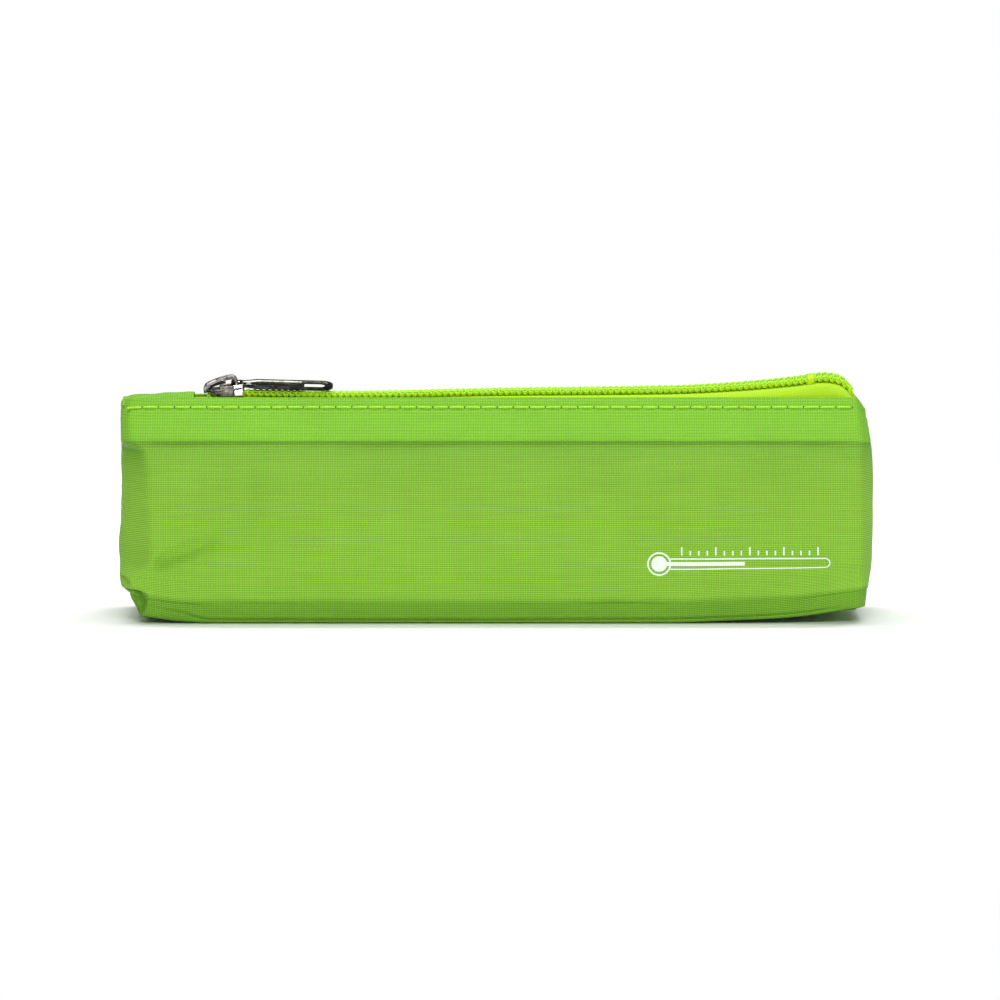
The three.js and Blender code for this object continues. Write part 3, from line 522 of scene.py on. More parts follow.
class Nodes:
    """Short ways to add shader nodes."""

    def __init__(self, name):
        self.material = bpy.data.materials.new(name)
        self.material.use_nodes = True
        self.tree = self.material.node_tree
        self.shader = self.tree.nodes["Principled BSDF"]

    def put(self, socket, value):
        if isinstance(value, bpy.types.NodeSocket):
            self.tree.links.new(value, socket)
        elif value is not None:
            filled = socket.default_value
            if hasattr(filled, "__len__") and len(filled) == 4 and len(value) == 3:
                value = (*value, 1)
            socket.default_value = value

    def add(self, kind, out=0, props=None, **inputs):
        node = self.tree.nodes.new(kind)
        for key, value in (props or {}).items():
            setattr(node, key, value)
        for key, value in inputs.items():
            name = key.replace("_", " ")
            index = int(name[2:]) if name.startswith("in") and name[2:].isdigit() else name
            self.put(node.inputs[index], value)
        return node.outputs[out]

    def math(self, operation, a, b=None, c=None):
        return self.add("ShaderNodeMath", props={"operation": operation}, in0=a, in1=b, in2=c)

    def mix(self, share, a, b):
        return self.add("ShaderNodeMix", out=2, props={"data_type": "RGBA"}, in0=share, in6=a, in7=b)

    def choose(self, share, a, b):
        return self.add("ShaderNodeMix", props={"data_type": "FLOAT"}, in0=share, in2=a, in3=b)

    def times(self, colour, share):
        """A colour made lighter or darker by a number."""
        grey = self.add("ShaderNodeCombineColor", in0=share, in1=share, in2=share)
        multiply = {"data_type": "RGBA", "blend_type": "MULTIPLY"}
        return self.add("ShaderNodeMix", out=2, props=multiply, in0=1.0, in6=colour, in7=grey)

    def ramp(self, share, stops):
        node = self.tree.nodes.new("ShaderNodeValToRGB")
        self.put(node.inputs[0], share)
        marks = node.color_ramp.elements
        while len(marks) < len(stops):
            marks.new(0.5)
        for mark, (at, colour) in zip(marks, stops):
            mark.position = at
            mark.color = (*colour, 1)
        return node.outputs[0]

    def remap(self, value, to_low, to_high, low=0.3, high=0.7):
        """A value from low to high, where most noise lies, turned into one from to_low to to_high."""
        return self.add("ShaderNodeMapRange", in0=value, in1=low, in2=high, in3=to_low, in4=to_high)

    def between(self, noise, a, b):
        return self.mix(self.remap(noise, 0.0, 1.0), a, b)

    def noise(self, vector, scale, detail=2.0, rough=0.5):
        return self.add("ShaderNodeTexNoise", Vector=vector, Scale=scale, Detail=detail, Roughness=rough)

    def place(self):
        return self.tree.nodes.new("ShaderNodeTexCoord").outputs["Object"]

    def uv(self):
        return self.add("ShaderNodeUVMap", props={"uv_map": "UVMap"})

    def split(self, vector):
        """The parts of a vector across and up."""
        node = self.tree.nodes.new("ShaderNodeSeparateXYZ")
        self.put(node.inputs[0], vector)
        return node.outputs[0], node.outputs[1]

    def join(self, x, y, z):
        return self.add("ShaderNodeCombineXYZ", in0=x, in1=y, in2=z)

    def bump(self, height, strength, distance):
        return self.add("ShaderNodeBump", Height=height, Strength=strength, Distance=distance * MM)

    def finish(self, **inputs):
        for key, value in inputs.items():
            self.put(self.shader.inputs[key.replace("_", " ")], value)
        return self.material


def srgb(red, green, blue):
    shares = [c / 255 for c in (red, green, blue)]
    return tuple(((c + 0.055) / 1.055) ** 2.4 if c > 0.0404 else c / 12.92 for c in shares)


YARN = 0.635
YARN_UP = 0.5


def weave(n, across, up, pitch_across=YARN, pitch_up=YARN_UP):
    """A plain weave from places in metres: its height, each yarn's tone, and its rows, all 0 to 1."""
    a = n.math("DIVIDE", across, pitch_across * MM)
    b = n.math("DIVIDE", up, pitch_up * MM)
    row_a = n.math("FLOOR", a)
    row_b = n.math("FLOOR", b)
    over = n.math("ABSOLUTE", n.math("MODULO", n.math("ADD", row_a, row_b), 2.0))
    wave_a = n.math("ABSOLUTE", n.math("SINE", n.math("MULTIPLY", a, math.pi)))
    wave_b = n.math("ABSOLUTE", n.math("SINE", n.math("MULTIPLY", b, math.pi)))
    warp = n.math("MULTIPLY", wave_a, n.math("MULTIPLY_ADD", wave_b, 0.45, 0.55))
    weft = n.math("MULTIPLY", wave_b, n.math("MULTIPLY_ADD", wave_a, 0.45, 0.55))
    height = n.math("POWER", n.choose(over, weft, warp), 0.8)
    # Each yarn's tone drifts along it
    warp_place = n.join(n.math("MULTIPLY", row_a, 0.73), n.math("MULTIPLY", up, 45.0), 0.0)
    weft_place = n.join(n.math("MULTIPLY", across, 90.0), n.math("MULTIPLY", row_b, 0.73), 5.0)
    warp_tone = n.math("MULTIPLY_ADD", n.noise(warp_place, 1.0, 1.0), 0.4, 0.3)
    return height, n.choose(over, n.noise(weft_place, 1.0, 1.0), warp_tone), wave_b


STITCH_END = 95.4
# Painted shadow lines in the yarn under the hem: how far down from the crease, how wide, and their share of
# light
SHADOW_ROWS = [(0.15, 0.22, 0.86), (0.85, 0.2, 0.8), (1.5, 0.2, 0.84)]


def hem_painted_shade(n, across, up):
    """Painted shade as a share of light: needle holes painted dark along the topstitch, and painted shadow
    lines in the yarn under the hem.
    """
    from_hole = n.math("PINGPONG", across, STITCH_PITCH / 2 * MM)
    from_row = n.math("SUBTRACT", up, float(cloth_run(EDGE - STITCH_DROP)) * MM)
    reach = n.math("SQRT", n.math("ADD", n.math("POWER", from_hole, 2.0), n.math("POWER", from_row, 2.0)))
    hole = n.remap(reach, 0.25, 1.0, 0.22 * MM, 0.5 * MM)
    past_end = n.math("GREATER_THAN", n.math("ABSOLUTE", across), STITCH_END * MM)
    light = n.math("MAXIMUM", hole, past_end)
    for drop, width, dark in SHADOW_ROWS:
        away = n.math("ABSOLUTE", n.math("SUBTRACT", up, (float(cloth_run(CREASE)) - drop) * MM))
        light = n.math("MULTIPLY", light, n.remap(away, dark, 1.0, width * 0.4 * MM, width * 1.4 * MM))
    return light


def fabric_material(name, stops, high, shade_marks=None):
    """Woven cloth whose colour changes with the cloth's own height, up to high in millimetres. On the shell
    this ramp and the marks passed in paint shade.
    """
    n = Nodes(name)
    across, up = n.split(n.uv())
    height, tone, rows = weave(n, across, up)
    colour = n.ramp(n.remap(up, 0.0, 1.0, 0.0, high * MM), stops)
    light = n.math("MULTIPLY_ADD", height, 0.4, 0.35)
    light = n.math("ADD", light, n.math("MULTIPLY", rows, 0.45))
    light = n.math("ADD", light, n.remap(tone, -0.07, 0.07))
    light = n.math("ADD", light, n.remap(n.noise(n.uv(), 38.0, 3.0), -0.03, 0.03))
    if shade_marks:
        light = n.math("MULTIPLY", light, shade_marks(n, across, up))
    fuzz = n.noise(n.uv(), 2400.0, 2.0)
    surface = n.math("ADD", height, n.math("MULTIPLY", fuzz, 0.25))
    return n.finish(
        Base_Color=n.times(colour, light),
        Roughness=n.remap(height, 0.78, 0.58, 0.0, 1.0),
        Normal=n.bump(surface, 0.7, 0.14),
        Sheen_Weight=0.04,
        Sheen_Roughness=0.45,
        Specular_IOR_Level=0.22,
    )


SHELL_TOP = float(cloth_run(EDGE)) + 4
crease_share = float(cloth_run(CREASE)) / SHELL_TOP
# Painted shade in the shell's colour by height: darker on the base, and darkening down to just under the
# hem's crease as a painted shadow of the hem's edge; the hem band has a tone of its own
SHELL_SHADE_STOPS = [
    (0.0, srgb(114, 171, 41)),
    (0.025, srgb(139, 196, 57)),
    (0.08, srgb(136, 191, 54)),
    (crease_share - 0.25, srgb(136, 190, 54)),
    (crease_share - 0.13, srgb(130, 185, 51)),
    (crease_share - 0.05, srgb(121, 177, 47)),
    (crease_share - 0.006, srgb(113, 170, 43)),
    (crease_share + 0.006, srgb(124, 189, 40)),
    (1.0, srgb(124, 189, 38)),
]
shell_cloth = fabric_material("shell_cloth", SHELL_SHADE_STOPS, SHELL_TOP, hem_painted_shade)
tab_cloth = fabric_material("tab_cloth", [(0.0, srgb(118, 180, 40)), (1.0, srgb(122, 186, 42))], 20)


def plain_cloth(name, colour, pitches, shade, spots, normal, **rest):
    """Woven cloth of one colour. shade holds how much the weave's height adds to the light, and the rest."""
    n = Nodes(name)
    across, up = n.split(n.uv())
    height, tone, _ = weave(n, across, up, *pitches)
    light = n.math("ADD", n.math("MULTIPLY_ADD", height, *shade), n.remap(tone, -spots, spots))
    return n.finish(Base_Color=n.times(colour, light), Normal=n.bump(height, *normal), **rest)


def coil_material():
    n = Nodes("zip_coil_nylon")
    spots = n.noise(n.place(), 900.0, 3.0)
    return n.finish(
        Base_Color=n.between(spots, srgb(170, 210, 7), srgb(186, 223, 11)),
        Roughness=n.remap(spots, 0.42, 0.55),
        Specular_IOR_Level=0.3,
        Normal=n.bump(spots, 0.15, 0.03),
        Subsurface_Weight=0.08,
        Subsurface_Scale=0.4 * MM,
    )


def thread_material():
    n = Nodes("thread_twist")
    across, up = n.split(n.uv())
    ply = n.math("SINE", n.math("MULTIPLY", n.math("ADD", across, up), 2 * math.pi / (0.42 * MM)))
    fibre = n.noise(n.uv(), 5200.0, 2.0)
    light = n.math("ADD", n.math("MULTIPLY_ADD", ply, 0.12, 0.94), n.remap(fibre, -0.06, 0.06))
    return n.finish(
        Base_Color=n.times(srgb(176, 240, 14), light),
        Roughness=0.5,
        Normal=n.bump(ply, 0.5, 0.05),
        Sheen_Weight=0.1,
    )


def nickel_material(name, dull, bright, darkest):
    n = Nodes(name)
    place = n.place()
    wear = n.noise(place, 260.0, 4.0, 0.6)
    grain = n.noise(n.add("ShaderNodeMapping", Vector=place, Scale=(60.0, 900.0, 900.0)), 1.0, 3.0)
    pits = n.noise(place, 1500.0, 2.0)
    grime = n.noise(place, 520.0, 3.0, 0.6)
    colour = n.mix(n.remap(wear, 0.0, 1.0, 0.42, 0.62), dull, bright)
    return n.finish(
        Base_Color=n.times(colour, n.remap(grime, darkest, 1.0, 0.35, 0.6)),
        Metallic=1.0,
        Roughness=n.math("ADD", n.remap(grain, 0.1, 0.24), n.remap(wear, 0.0, 0.06, 0.35, 0.65)),
        Normal=n.bump(pits, 0.12, 0.02),
    )


def foil_material():
    n = Nodes("foil_lining")
    edges = {"feature": "DISTANCE_TO_EDGE"}
    folds = n.add("ShaderNodeTexVoronoi", props=edges, Vector=n.uv(), Scale=170.0, Randomness=1.0)
    crinkle = n.noise(n.uv(), 420.0, 4.0, 0.6)
    height = n.math("ADD", n.remap(folds, 0.0, 1.0, 0.0, 0.12), n.math("MULTIPLY", crinkle, 1.2))
    across, up = n.split(n.uv())
    diamonds = [
        n.math("ABSOLUTE", n.math("SINE", n.math("MULTIPLY", n.math(way, across, up), math.pi / (6 * MM))))
        for way in ("ADD", "SUBTRACT")
    ]
    quilt = n.math("MULTIPLY", n.math("MAXIMUM", *diamonds), 0.8)
    return n.finish(
        Base_Color=n.between(crinkle, (0.66, 0.67, 0.69), (0.82, 0.83, 0.84)),
        Metallic=0.9,
        Roughness=n.remap(crinkle, 0.26, 0.42),
        Normal=n.bump(n.math("ADD", height, quilt), 0.5, 0.22),
    )


def foam_material():
    n = Nodes("closed_cell_foam")
    cells = n.add("ShaderNodeTexVoronoi", Vector=n.place(), Scale=900.0, Randomness=1.0)
    return n.finish(
        Base_Color=n.between(n.noise(n.place(), 60.0, 2.0), (0.78, 0.77, 0.72), (0.86, 0.85, 0.81)),
        Roughness=0.9,
        Normal=n.bump(cells, 0.4, 0.15),
    )


def film_material():
    n = Nodes("pack_film")
    ripple = n.noise(n.place(), 210.0, 3.0)
    return n.finish(
        Base_Color=(0.86, 0.93, 0.98),
        Roughness=n.remap(ripple, 0.12, 0.26),
        Normal=n.bump(ripple, 0.3, 0.3),
        Alpha=n.remap(ripple, 0.38, 0.55),
        Specular_IOR_Level=0.6,
    )


def gel_material():
    n = Nodes("blue_gel")
    swirl = n.noise(n.place(), 90.0, 4.0, 0.6)
    return n.finish(
        Base_Color=n.between(swirl, (0.09, 0.33, 0.62), (0.18, 0.48, 0.76)),
        Roughness=n.remap(swirl, 0.16, 0.3),
        Normal=n.bump(swirl, 0.2, 0.6),
        Subsurface_Weight=0.25,
        Subsurface_Scale=2 * MM,
    )


def ink_material():
    n = Nodes("white_ink")
    height, _, _ = weave(n, *n.split(n.uv()))
    worn = n.noise(n.uv(), 900.0, 3.0)
    light = n.math("ADD", n.math("MULTIPLY_ADD", height, 0.12, 0.88), n.remap(worn, -0.05, 0.03))
    return n.finish(
        Base_Color=n.times(srgb(232, 244, 230), light), Roughness=0.6, Normal=n.bump(height, 0.45, 0.1)
    )


tape_cloth = plain_cloth(
    "zip_tape_weave", srgb(160, 205, 10), (0.5, 0.42), (0.22, 0.84), 0.04, (0.4, 0.08),
    Roughness=0.7, Sheen_Weight=0.04, Sheen_Roughness=0.4, Specular_IOR_Level=0.25,
)
binding_cloth = plain_cloth(
    "binding_tape", (0.035, 0.035, 0.038), (0.45, 0.45), (0.6, 0.7), 0.1, (0.5, 0.1),
    Roughness=0.8, Sheen_Weight=0.3,
)
coil_nylon = coil_material()
stitch_thread = thread_material()
nickel = nickel_material("nickel_bright", (0.6, 0.58, 0.55), (0.75, 0.73, 0.7), 0.72)
# A lighter copy of the nickel for the puller's far slope, as a painted highlight
highlit_slope_nickel = nickel_material("nickel_edge", (0.32, 0.32, 0.26), (0.5, 0.5, 0.41), 0.6)
# A darker copy of the nickel for the slider's loop
darker_loop_nickel = nickel_material("nickel_loop_darker", (0.2, 0.19, 0.175), (0.5, 0.48, 0.45), 0.4)
brown_nickel = nickel_material("nickel_brown", (0.13, 0.12, 0.1), (0.24, 0.23, 0.2), 0.6)
# A near-black copy of the nickel for the puller's plate, lip and bar: painted shade and dark reflection
shaded_puller_nickel = nickel_material("nickel_black", (0.022, 0.026, 0.02), (0.05, 0.055, 0.045), 0.5)
black_steel = nickel_material("spring_steel", (0.015, 0.015, 0.015), (0.03, 0.03, 0.03), 0.6)
foil = foil_material()
foam = foam_material()
film = film_material()
gel = gel_material()
ink = ink_material()

SIDES = {-1: "front", 1: "back"}
ENDS = {-1: "left", 1: "right"}
QUARTERS = [(sx, sy, ENDS[sx], SIDES[sy]) for sy in SIDES for sx in ENDS]
CLOTH = 0.4


def open_with_mouth(piece):
    """Bakes the piece's place into its points."""
    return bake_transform(piece)


# Outer shell

for sx, sy, end, side in QUARTERS:
    points, uvs = wall_quarter(sx, sy)
    shell = grid_piece(f"{side}_{end}_shell", points, shell_cloth, uvs, sx * sy > 0)
    thicken(shell, CLOTH)
    open_with_mouth(shell)
    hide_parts(f"{side}_panel", f"{end}_end_panel")

# Further in than this the base's rings draw together towards its middle
BASE_BAND = 6


def base_shell():
    """The base: a pan that carries the wall on round its heel to a flat underside."""
    columns = wall_columns()
    points, faces, uvs = [], [], []
    for sx, sy, _, _ in QUARTERS:
        wall, wall_uv = wall_quarter(sx, sy, rows=[FOOT, FOOT + 0.5], fold=False)
        across = wall_uv[0, :, 0]
        x, y = section(sx, sy, np.zeros(1), columns)
        nx, ny = outward(x, y, sx, sy)
        x, y, nx, ny = x[0], y[0], nx[0], ny[0]
        depth = HALF_DEPTH * float(depth_share(0))
        core = (x.max() - depth) * np.minimum(x / x.max(), 1)
        strength = FOLD_STRENGTH.get((sx, sy), 0)
        rings, cloth = [wall[0]], [np.stack([across, 0 * across], axis=-1)]
        run, before = 0, (0, FOOT)
        for inset, end_inset, z in HEEL + [(inset, inset, 0) for inset in FLAT_INSETS]:
            run += math.hypot(inset - before[0], z - before[1])
            before = (inset, z)
            end_inset *= END_TUCK[sx] + (1 - END_TUCK[sx]) * smooth(3, 7.6, end_inset)
            px = sx * x - nx * min(end_inset, BASE_BAND)
            py = sy * y - ny * min(inset, BASE_BAND)
            if inset > BASE_BAND:
                shrink = (inset - BASE_BAND) / (depth - BASE_BAND)
                px = px + (sx * core - px) * shrink
                py = py * (1 - shrink)
            height = heights(np.full(len(px), float(z)), sx, np.abs(px))
            under = FOOT_CREASE[sx](x) + base_lift[sx](x) * 0.5
            groove = 0.5 * bump(height, under, 0.42) * (inset < 5) * smooth(-0.1, 0.3, height)
            groove = groove - 0.35 * bump(height, under + 0.9, 0.5) * (inset < 5)
            groove = groove * smooth(0.6, 0.95, np.abs(ny)) * (1 - smooth(86, 93, x))
            px = px - nx * groove
            py = py - ny * groove
            if inset > 7:
                height = height + np.clip(field(px, py, 30, 31) * 0.25 + 0.25, 0, 1)
            if strength:
                py = py - fold_back(sy, px, py, height, strength) * smooth(0, 3, z)
            rings.append(np.stack([px, py, height], axis=-1))
            cloth.append(np.stack([px * -sy if inset > 3 else across, np.full(len(px), -run)], axis=-1))
        px = sx * core
        rings.append(np.stack([px, 0 * px, heights(0 * px, sx, np.abs(px)) + 0.25], axis=-1))
        cloth.append(np.stack([px * -sy, np.full(len(px), -run - 2)], axis=-1))
        faces += shifted(grid_faces(len(rings), len(px), sx * sy < 0), len(points))
        points.extend(np.concatenate(rings))
        uvs.extend(np.concatenate(cloth))
    return make_piece("base_shell", points, faces, shell_cloth, uvs)


def weld(piece, distance=0.002):
    mesh = bmesh.new()
    mesh.from_mesh(piece.data)
    bmesh.ops.remove_doubles(mesh, verts=mesh.verts, dist=distance * MM)
    bmesh.ops.dissolve_degenerate(mesh, edges=mesh.edges, dist=distance * MM)
    mesh.to_mesh(piece.data)
    mesh.free()
    return piece


base = weld(base_shell())
thicken(base, CLOTH)
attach(base, "pouch")
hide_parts("base_panel")

CLEAR_OF_SEAM = 30


def face_point(sx, sy, x, height, lift=0.0):
    """A point on the flat of the outer wall at a distance along it, and its outward normal."""
    def at(x, height):
        height = np.asarray(height, float)
        stand = relief(sx, sy, sx * np.abs(x), height, CLEAR_OF_SEAM + 0 * x)
        depth = HALF_DEPTH * depth_share(height_share(height))
        return np.array([x, sy * (depth + stand), heights(height, sx, np.abs(x))])

    right = at(x + 0.2, height) - at(x - 0.2, height)
    up = at(x, height + 0.2) - at(x, height - 0.2)
    normal = unit(np.cross(right.T, up.T))
    normal *= sy * np.sign(normal[..., 1:2])
    return at(x, height).T + normal * lift, normal


# Topstitch: one raised stitch between each pair of needle holes

def topstitch(name, sx, sy):
    steps, around = 10, 8
    points, faces, uvs = [], [], []
    place = np.linspace(0.03, 0.97, steps)
    sag = 1 - np.abs(2 * place - 1) ** 8
    for k in range(round((HALF_LENGTH - (1 if sx < 0 else 4)) / STITCH_PITCH)):
        x = sx * (k + place) * STITCH_PITCH
        jitter = 0.03 * math.sin(k * 2.3 + sx)
        centre, normal = face_point(sx, sy, x, EDGE - STITCH_DROP + jitter * (2 * place - 1))
        centre = centre + normal * (STITCH_THREAD * (sag[:, None] * 0.6 - 0.3))
        faces += shifted(tube_faces(steps, around, sx * sy > 0), len(points))
        for i in range(steps):
            side = unit(np.cross(normal[i], (1, 0, 0)))
            radius = STITCH_THREAD / 2 * (0.6 + 0.4 * sag[i])
            for j in range(around):
                angle = 2 * math.pi * j / around
                swell = radius * (1 + 0.1 * math.cos(2 * (angle + x[i] * 4.5)))
                points.append(centre[i] + (normal[i] * math.cos(angle) + side * math.sin(angle)) * swell)
                uvs.append((x[i], j / around * 1.4))
    return make_piece(name, points, faces, stitch_thread, uvs)


for sx, sy, end, side in QUARTERS:
    stitches = topstitch(f"{side}_{end}_topstitch", sx, sy)
    open_with_mouth(stitches)
    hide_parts(f"{side}_topstitch")

# Zip chain

COIL_RISE = 2
COIL_WIDTH = 2.6
COIL_HEIGHT = 1.6
COIL_PITCH = 1.65
COIL_WIRE = 0.72
# How blunt the turns are, how far they lean as a share of the pitch, and the wire's stretch along the case
COIL_BLUNTNESS = 0.8
COIL_LEAN = 0.11
WIRE_STRETCH = 1.3
coil_rise_share = curve([
    (-0.97, -0.35), (-0.79, 0), (-0.67, 0.52), (-0.6, 0.45), (-0.41, 0.32), (0, 0.68), (0.48, 1),
    (0.65, 1.45), (0.8, 2.15), (0.88, 2.65), (0.92, 2.3), (0.948, 1.1), (0.968, -0.5),
])
SLIDER_X = -72.8
SLIDER_HALF = 4.8
CHAIN_SPREAD = 0.95
COIL_START = SLIDER_X - SLIDER_HALF - 0.3
COIL_END = 95.6
chain_tilt = curve([(-60, 0), (0, 3), (60, 7), (80, 10), (90, 12)])


def coil_height(x):
    return EDGE + coil_rise_share(x / HALF_LENGTH) * COIL_RISE


def coil_inner(x):
    closed = smooth(SLIDER_X - SLIDER_HALF / 2, SLIDER_X + SLIDER_HALF / 2, x)
    return 0.1 + CHAIN_SPREAD * (1 - closed)


def chain_point(x, y, z):
    """A point given across and above the middle of the chain, with the chain's tilt towards the front."""
    tilt = np.radians(chain_tilt(x))
    up = coil_height(x) + z * np.cos(tilt) + y * np.sin(tilt)
    return np.stack([x, y * np.cos(tilt) - z * np.sin(tilt), up], axis=-1)


def tube(path, radius, around):
    """Rings of points round a path."""
    forward = unit(np.gradient(path, axis=0))
    side = unit(np.cross(forward, (0, 0, 1)))
    up = np.cross(side, forward)
    angle = np.linspace(0, 2 * math.pi, around, endpoint=False)
    ring = side[:, None] * np.cos(angle)[None, :, None] + up[:, None] * np.sin(angle)[None, :, None]
    return path[:, None] + ring * radius


def helix_coil(name, sx, sy):
    """One half of a coil: a flattened spiral of nylon wire, with a flat head at the middle."""
    low, high = (COIL_START, 0) if sx < 0 else (0, COIL_END)
    per_turn, around = 14, 7
    first, last = (end / COIL_PITCH * per_turn for end in (low, high))
    turns = np.arange(math.floor(first), math.ceil(last) + 1) / per_turn
    # The back coil's turns lie between the front coil's
    x = (turns + (0.5 if sy > 0 else 0)) * COIL_PITCH
    keep = (x >= low) & (x <= high)
    turns, x = turns[keep], x[keep]
    cos, sin = np.cos(2 * math.pi * turns), np.sin(2 * math.pi * turns)
    half_width = (COIL_WIDTH - COIL_WIRE) / 2
    half_height = (COIL_HEIGHT - COIL_WIRE) / 2
    swing = half_width * np.sign(cos) * np.abs(cos) ** COIL_BLUNTNESS
    lift = half_height * np.sign(sin) * np.abs(sin) ** COIL_BLUNTNESS
    path = chain_point(x, sy * (coil_inner(x) + COIL_WIDTH / 2 - 0.05 - swing), lift)
    path[:, 0] += COIL_LEAN * COIL_PITCH * cos
    points = tube(path, COIL_WIRE / 2, around).reshape(-1, 3)
    centres = np.repeat(path, around, axis=0)
    points[:, 0] = centres[:, 0] + (points[:, 0] - centres[:, 0]) * WIRE_STRETCH
    return make_piece(name, points, tube_faces(len(path), around), coil_nylon)


def cord_bar(name, sx, sy):
    """The filler cord inside one coil and the rows of thread that sew the coil to its tape."""
    low, high = (COIL_START, 0) if sx < 0 else (0, COIL_END)
    around = 6
    x = np.arange(low, high + 0.01, COIL_PITCH / 6)
    points, faces, uvs = [], [], []
    lanes = [(0.5, 0.0, 0.46, 0), (0.3, COIL_HEIGHT / 2, 0.2, 1), (0.72, COIL_HEIGHT / 2, 0.2, 1)]
    for across, lift, radius, bumpy in lanes:
        sag = 0.12 * np.cos(x / COIL_PITCH * 2 * math.pi) * bumpy
        path = chain_point(x, sy * (coil_inner(x) + across * COIL_WIDTH), lift - sag - 0.1 * bumpy)
        faces += shifted(grid_faces(len(x), around, wrap=True), len(points))
        points.extend(tube(path, radius, around).reshape(-1, 3))
        uvs.extend(np.stack([np.repeat(x, around), np.tile(np.arange(around) * 0.2, len(x))], axis=-1))
    return make_piece(name, points, faces, stitch_thread, uvs)


TAPE = 0.35
TAPE_START = -97
TAPE_END = 96.6
TAPE_SINK = COIL_HEIGHT / 2 + 0.12


def tape_grid(x, sy):
    """Rows of the tape across its width, for an array of places along the case."""
    inner = coil_inner(x)
    trim = smooth(0.915, 0.96, np.abs(x) / HALF_LENGTH)
    edge_y = HALF_DEPTH * depth_share(1.0) - 0.95
    outer = inner + COIL_WIDTH + 0.75 * (1 - 0.8 * trim)
    across = [inner - 0.1, inner + COIL_WIDTH * 0.5, inner + COIL_WIDTH, outer]
    rows = [chain_point(x, sy * y, -TAPE_SINK) for y in across]
    rim = rows[-1]
    drop = np.where(x < 0, edge_drop[-1](np.abs(x)), edge_drop[1](np.abs(x)))
    hem = np.stack([x, sy * (edge_y + 0 * x), EDGE - 0.5 - drop], axis=-1)
    rise = np.maximum(rim[:, 2] - hem[:, 2], 0)
    for t in (0.25, 0.5, 0.75):
        mid = rim * (1 - t) + hem * t
        mid[:, 1] += sy * 0.35 * np.sin(math.pi * t) * np.minimum(rise, 1.5)
        rows.append(mid)
    rows.append(hem)
    for down in (2.2, 4.5, 7.5):
        y = HALF_DEPTH * depth_share(height_share(EDGE - down)) - 1.75
        rows.append(np.stack([x, sy * (y + 0 * x), EDGE - down - drop], axis=-1))
    return np.array(rows)


def zip_tape(name, sx, sy):
    low, high = (TAPE_START, 0) if sx < 0 else (0, TAPE_END)
    x = np.linspace(low, high, 130)
    rows = tape_grid(x, sy)
    if sx > 0:
        flap = [rows[:, -1:] + np.array([forward, 0, -down]) for forward, down in ((0.35, 0.9), (0.5, 2.4))]
        rows = np.concatenate([rows] + flap, axis=1)
        x = np.concatenate([x, [x[-1] + 1, x[-1] + 2.5]])
    steps = np.linalg.norm(np.diff(rows, axis=0), axis=2)
    v = np.concatenate([np.zeros((1, len(x))), np.cumsum(steps, axis=0)])
    uvs = np.stack([np.repeat(x[None], len(rows), axis=0), v], axis=-1)
    return thicken(grid_piece(name, rows, tape_cloth, uvs, sy > 0), TAPE, offset=0)


for sx, sy, end, side in QUARTERS:
    tape = zip_tape(f"{side}_{end}_zip_tape", sx, sy)
    open_with_mouth(tape)
    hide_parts(f"{side}_zip_tape")
    coil = helix_coil(f"{side}_{end}_zip_coil", sx, sy)
    open_with_mouth(coil)
    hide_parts(f"{side}_zip_coil")
    cord = cord_bar(f"{side}_{end}_coil_sewing", sx, sy)
    open_with_mouth(cord)


# Metal parts, drawn as flat outlines with rounded edges

def outline_plate(name, rings, low, high, round_edge, steps=3):
    """A plate between two heights from closed outlines of (x, y); every ring after the first is a hole."""
    data = bpy.data.curves.new(name, "CURVE")
    data.dimensions = "2D"
    data.fill_mode = "BOTH"
    data.extrude = ((high - low) / 2 - round_edge) * MM
    data.bevel_depth = round_edge * MM
    data.bevel_resolution = steps
    for ring in rings:
        spline = data.splines.new("POLY")
        spline.points.add(len(ring) - 1)
        for point, (x, y) in zip(spline.points, ring):
            point.co = (x * MM, y * MM, 0, 1)
        spline.use_cyclic_u = True
    holder = show(name, data)
    bpy.context.view_layer.update()
    mesh = bpy.data.meshes.new_from_object(holder.evaluated_get(bpy.context.evaluated_depsgraph_get()))
    bpy.data.objects.remove(holder)
    mesh.transform(Matrix.Translation((0, 0, (low + high) / 2 * MM)))
    return mesh


SHARP_ANGLE = math.radians(35)


def join_meshes(name, meshes, material, place):
    """One piece from several meshes, moved by one matrix."""
    whole = bmesh.new()
    for mesh in meshes:
        whole.from_mesh(mesh)
    bmesh.ops.remove_doubles(whole, verts=whole.verts, dist=0.001 * MM)
    bmesh.ops.recalc_face_normals(whole, faces=whole.faces)
    result = bpy.data.meshes.new(name)
    whole.to_mesh(result)
    whole.free()
    result.transform(place)
    result.polygons.foreach_set("use_smooth", [True] * len(result.polygons))
    result.set_sharp_from_angle(angle=SHARP_ANGLE)
    result.materials.clear()
    result.materials.append(material)
    return show(name, result)


def rounded(corners, radius, steps=5):
    """A closed outline with each corner rounded. A corner is (x, y) or (x, y, its own radius)."""
    points = []
    count = len(corners)
    for i in range(count):
        p = np.array(corners[i][:2], float)
        r = corners[i][2] if len(corners[i]) > 2 else radius
        a = np.array(corners[i - 1][:2], float) - p
        b = np.array(corners[(i + 1) % count][:2], float) - p
        la, lb = np.linalg.norm(a), np.linalg.norm(b)
        half = math.acos(np.clip(a @ b / la / lb, -1, 1)) / 2
        cut = min(r / math.tan(half), 0.49 * la, 0.49 * lb)
        start, end = p + a / la * cut, p + b / lb * cut
        for k in range(steps + 1):
            t = k / steps
            points.append(tuple(start * (1 - t) ** 2 + p * 2 * t * (1 - t) + end * t * t))
    return points


def mirrored_outline(half):
    """A closed outline from its half at +y, from the +x end to the -x end."""
    return list(half) + [(point[0], -point[1], *point[2:]) for point in reversed(half)]


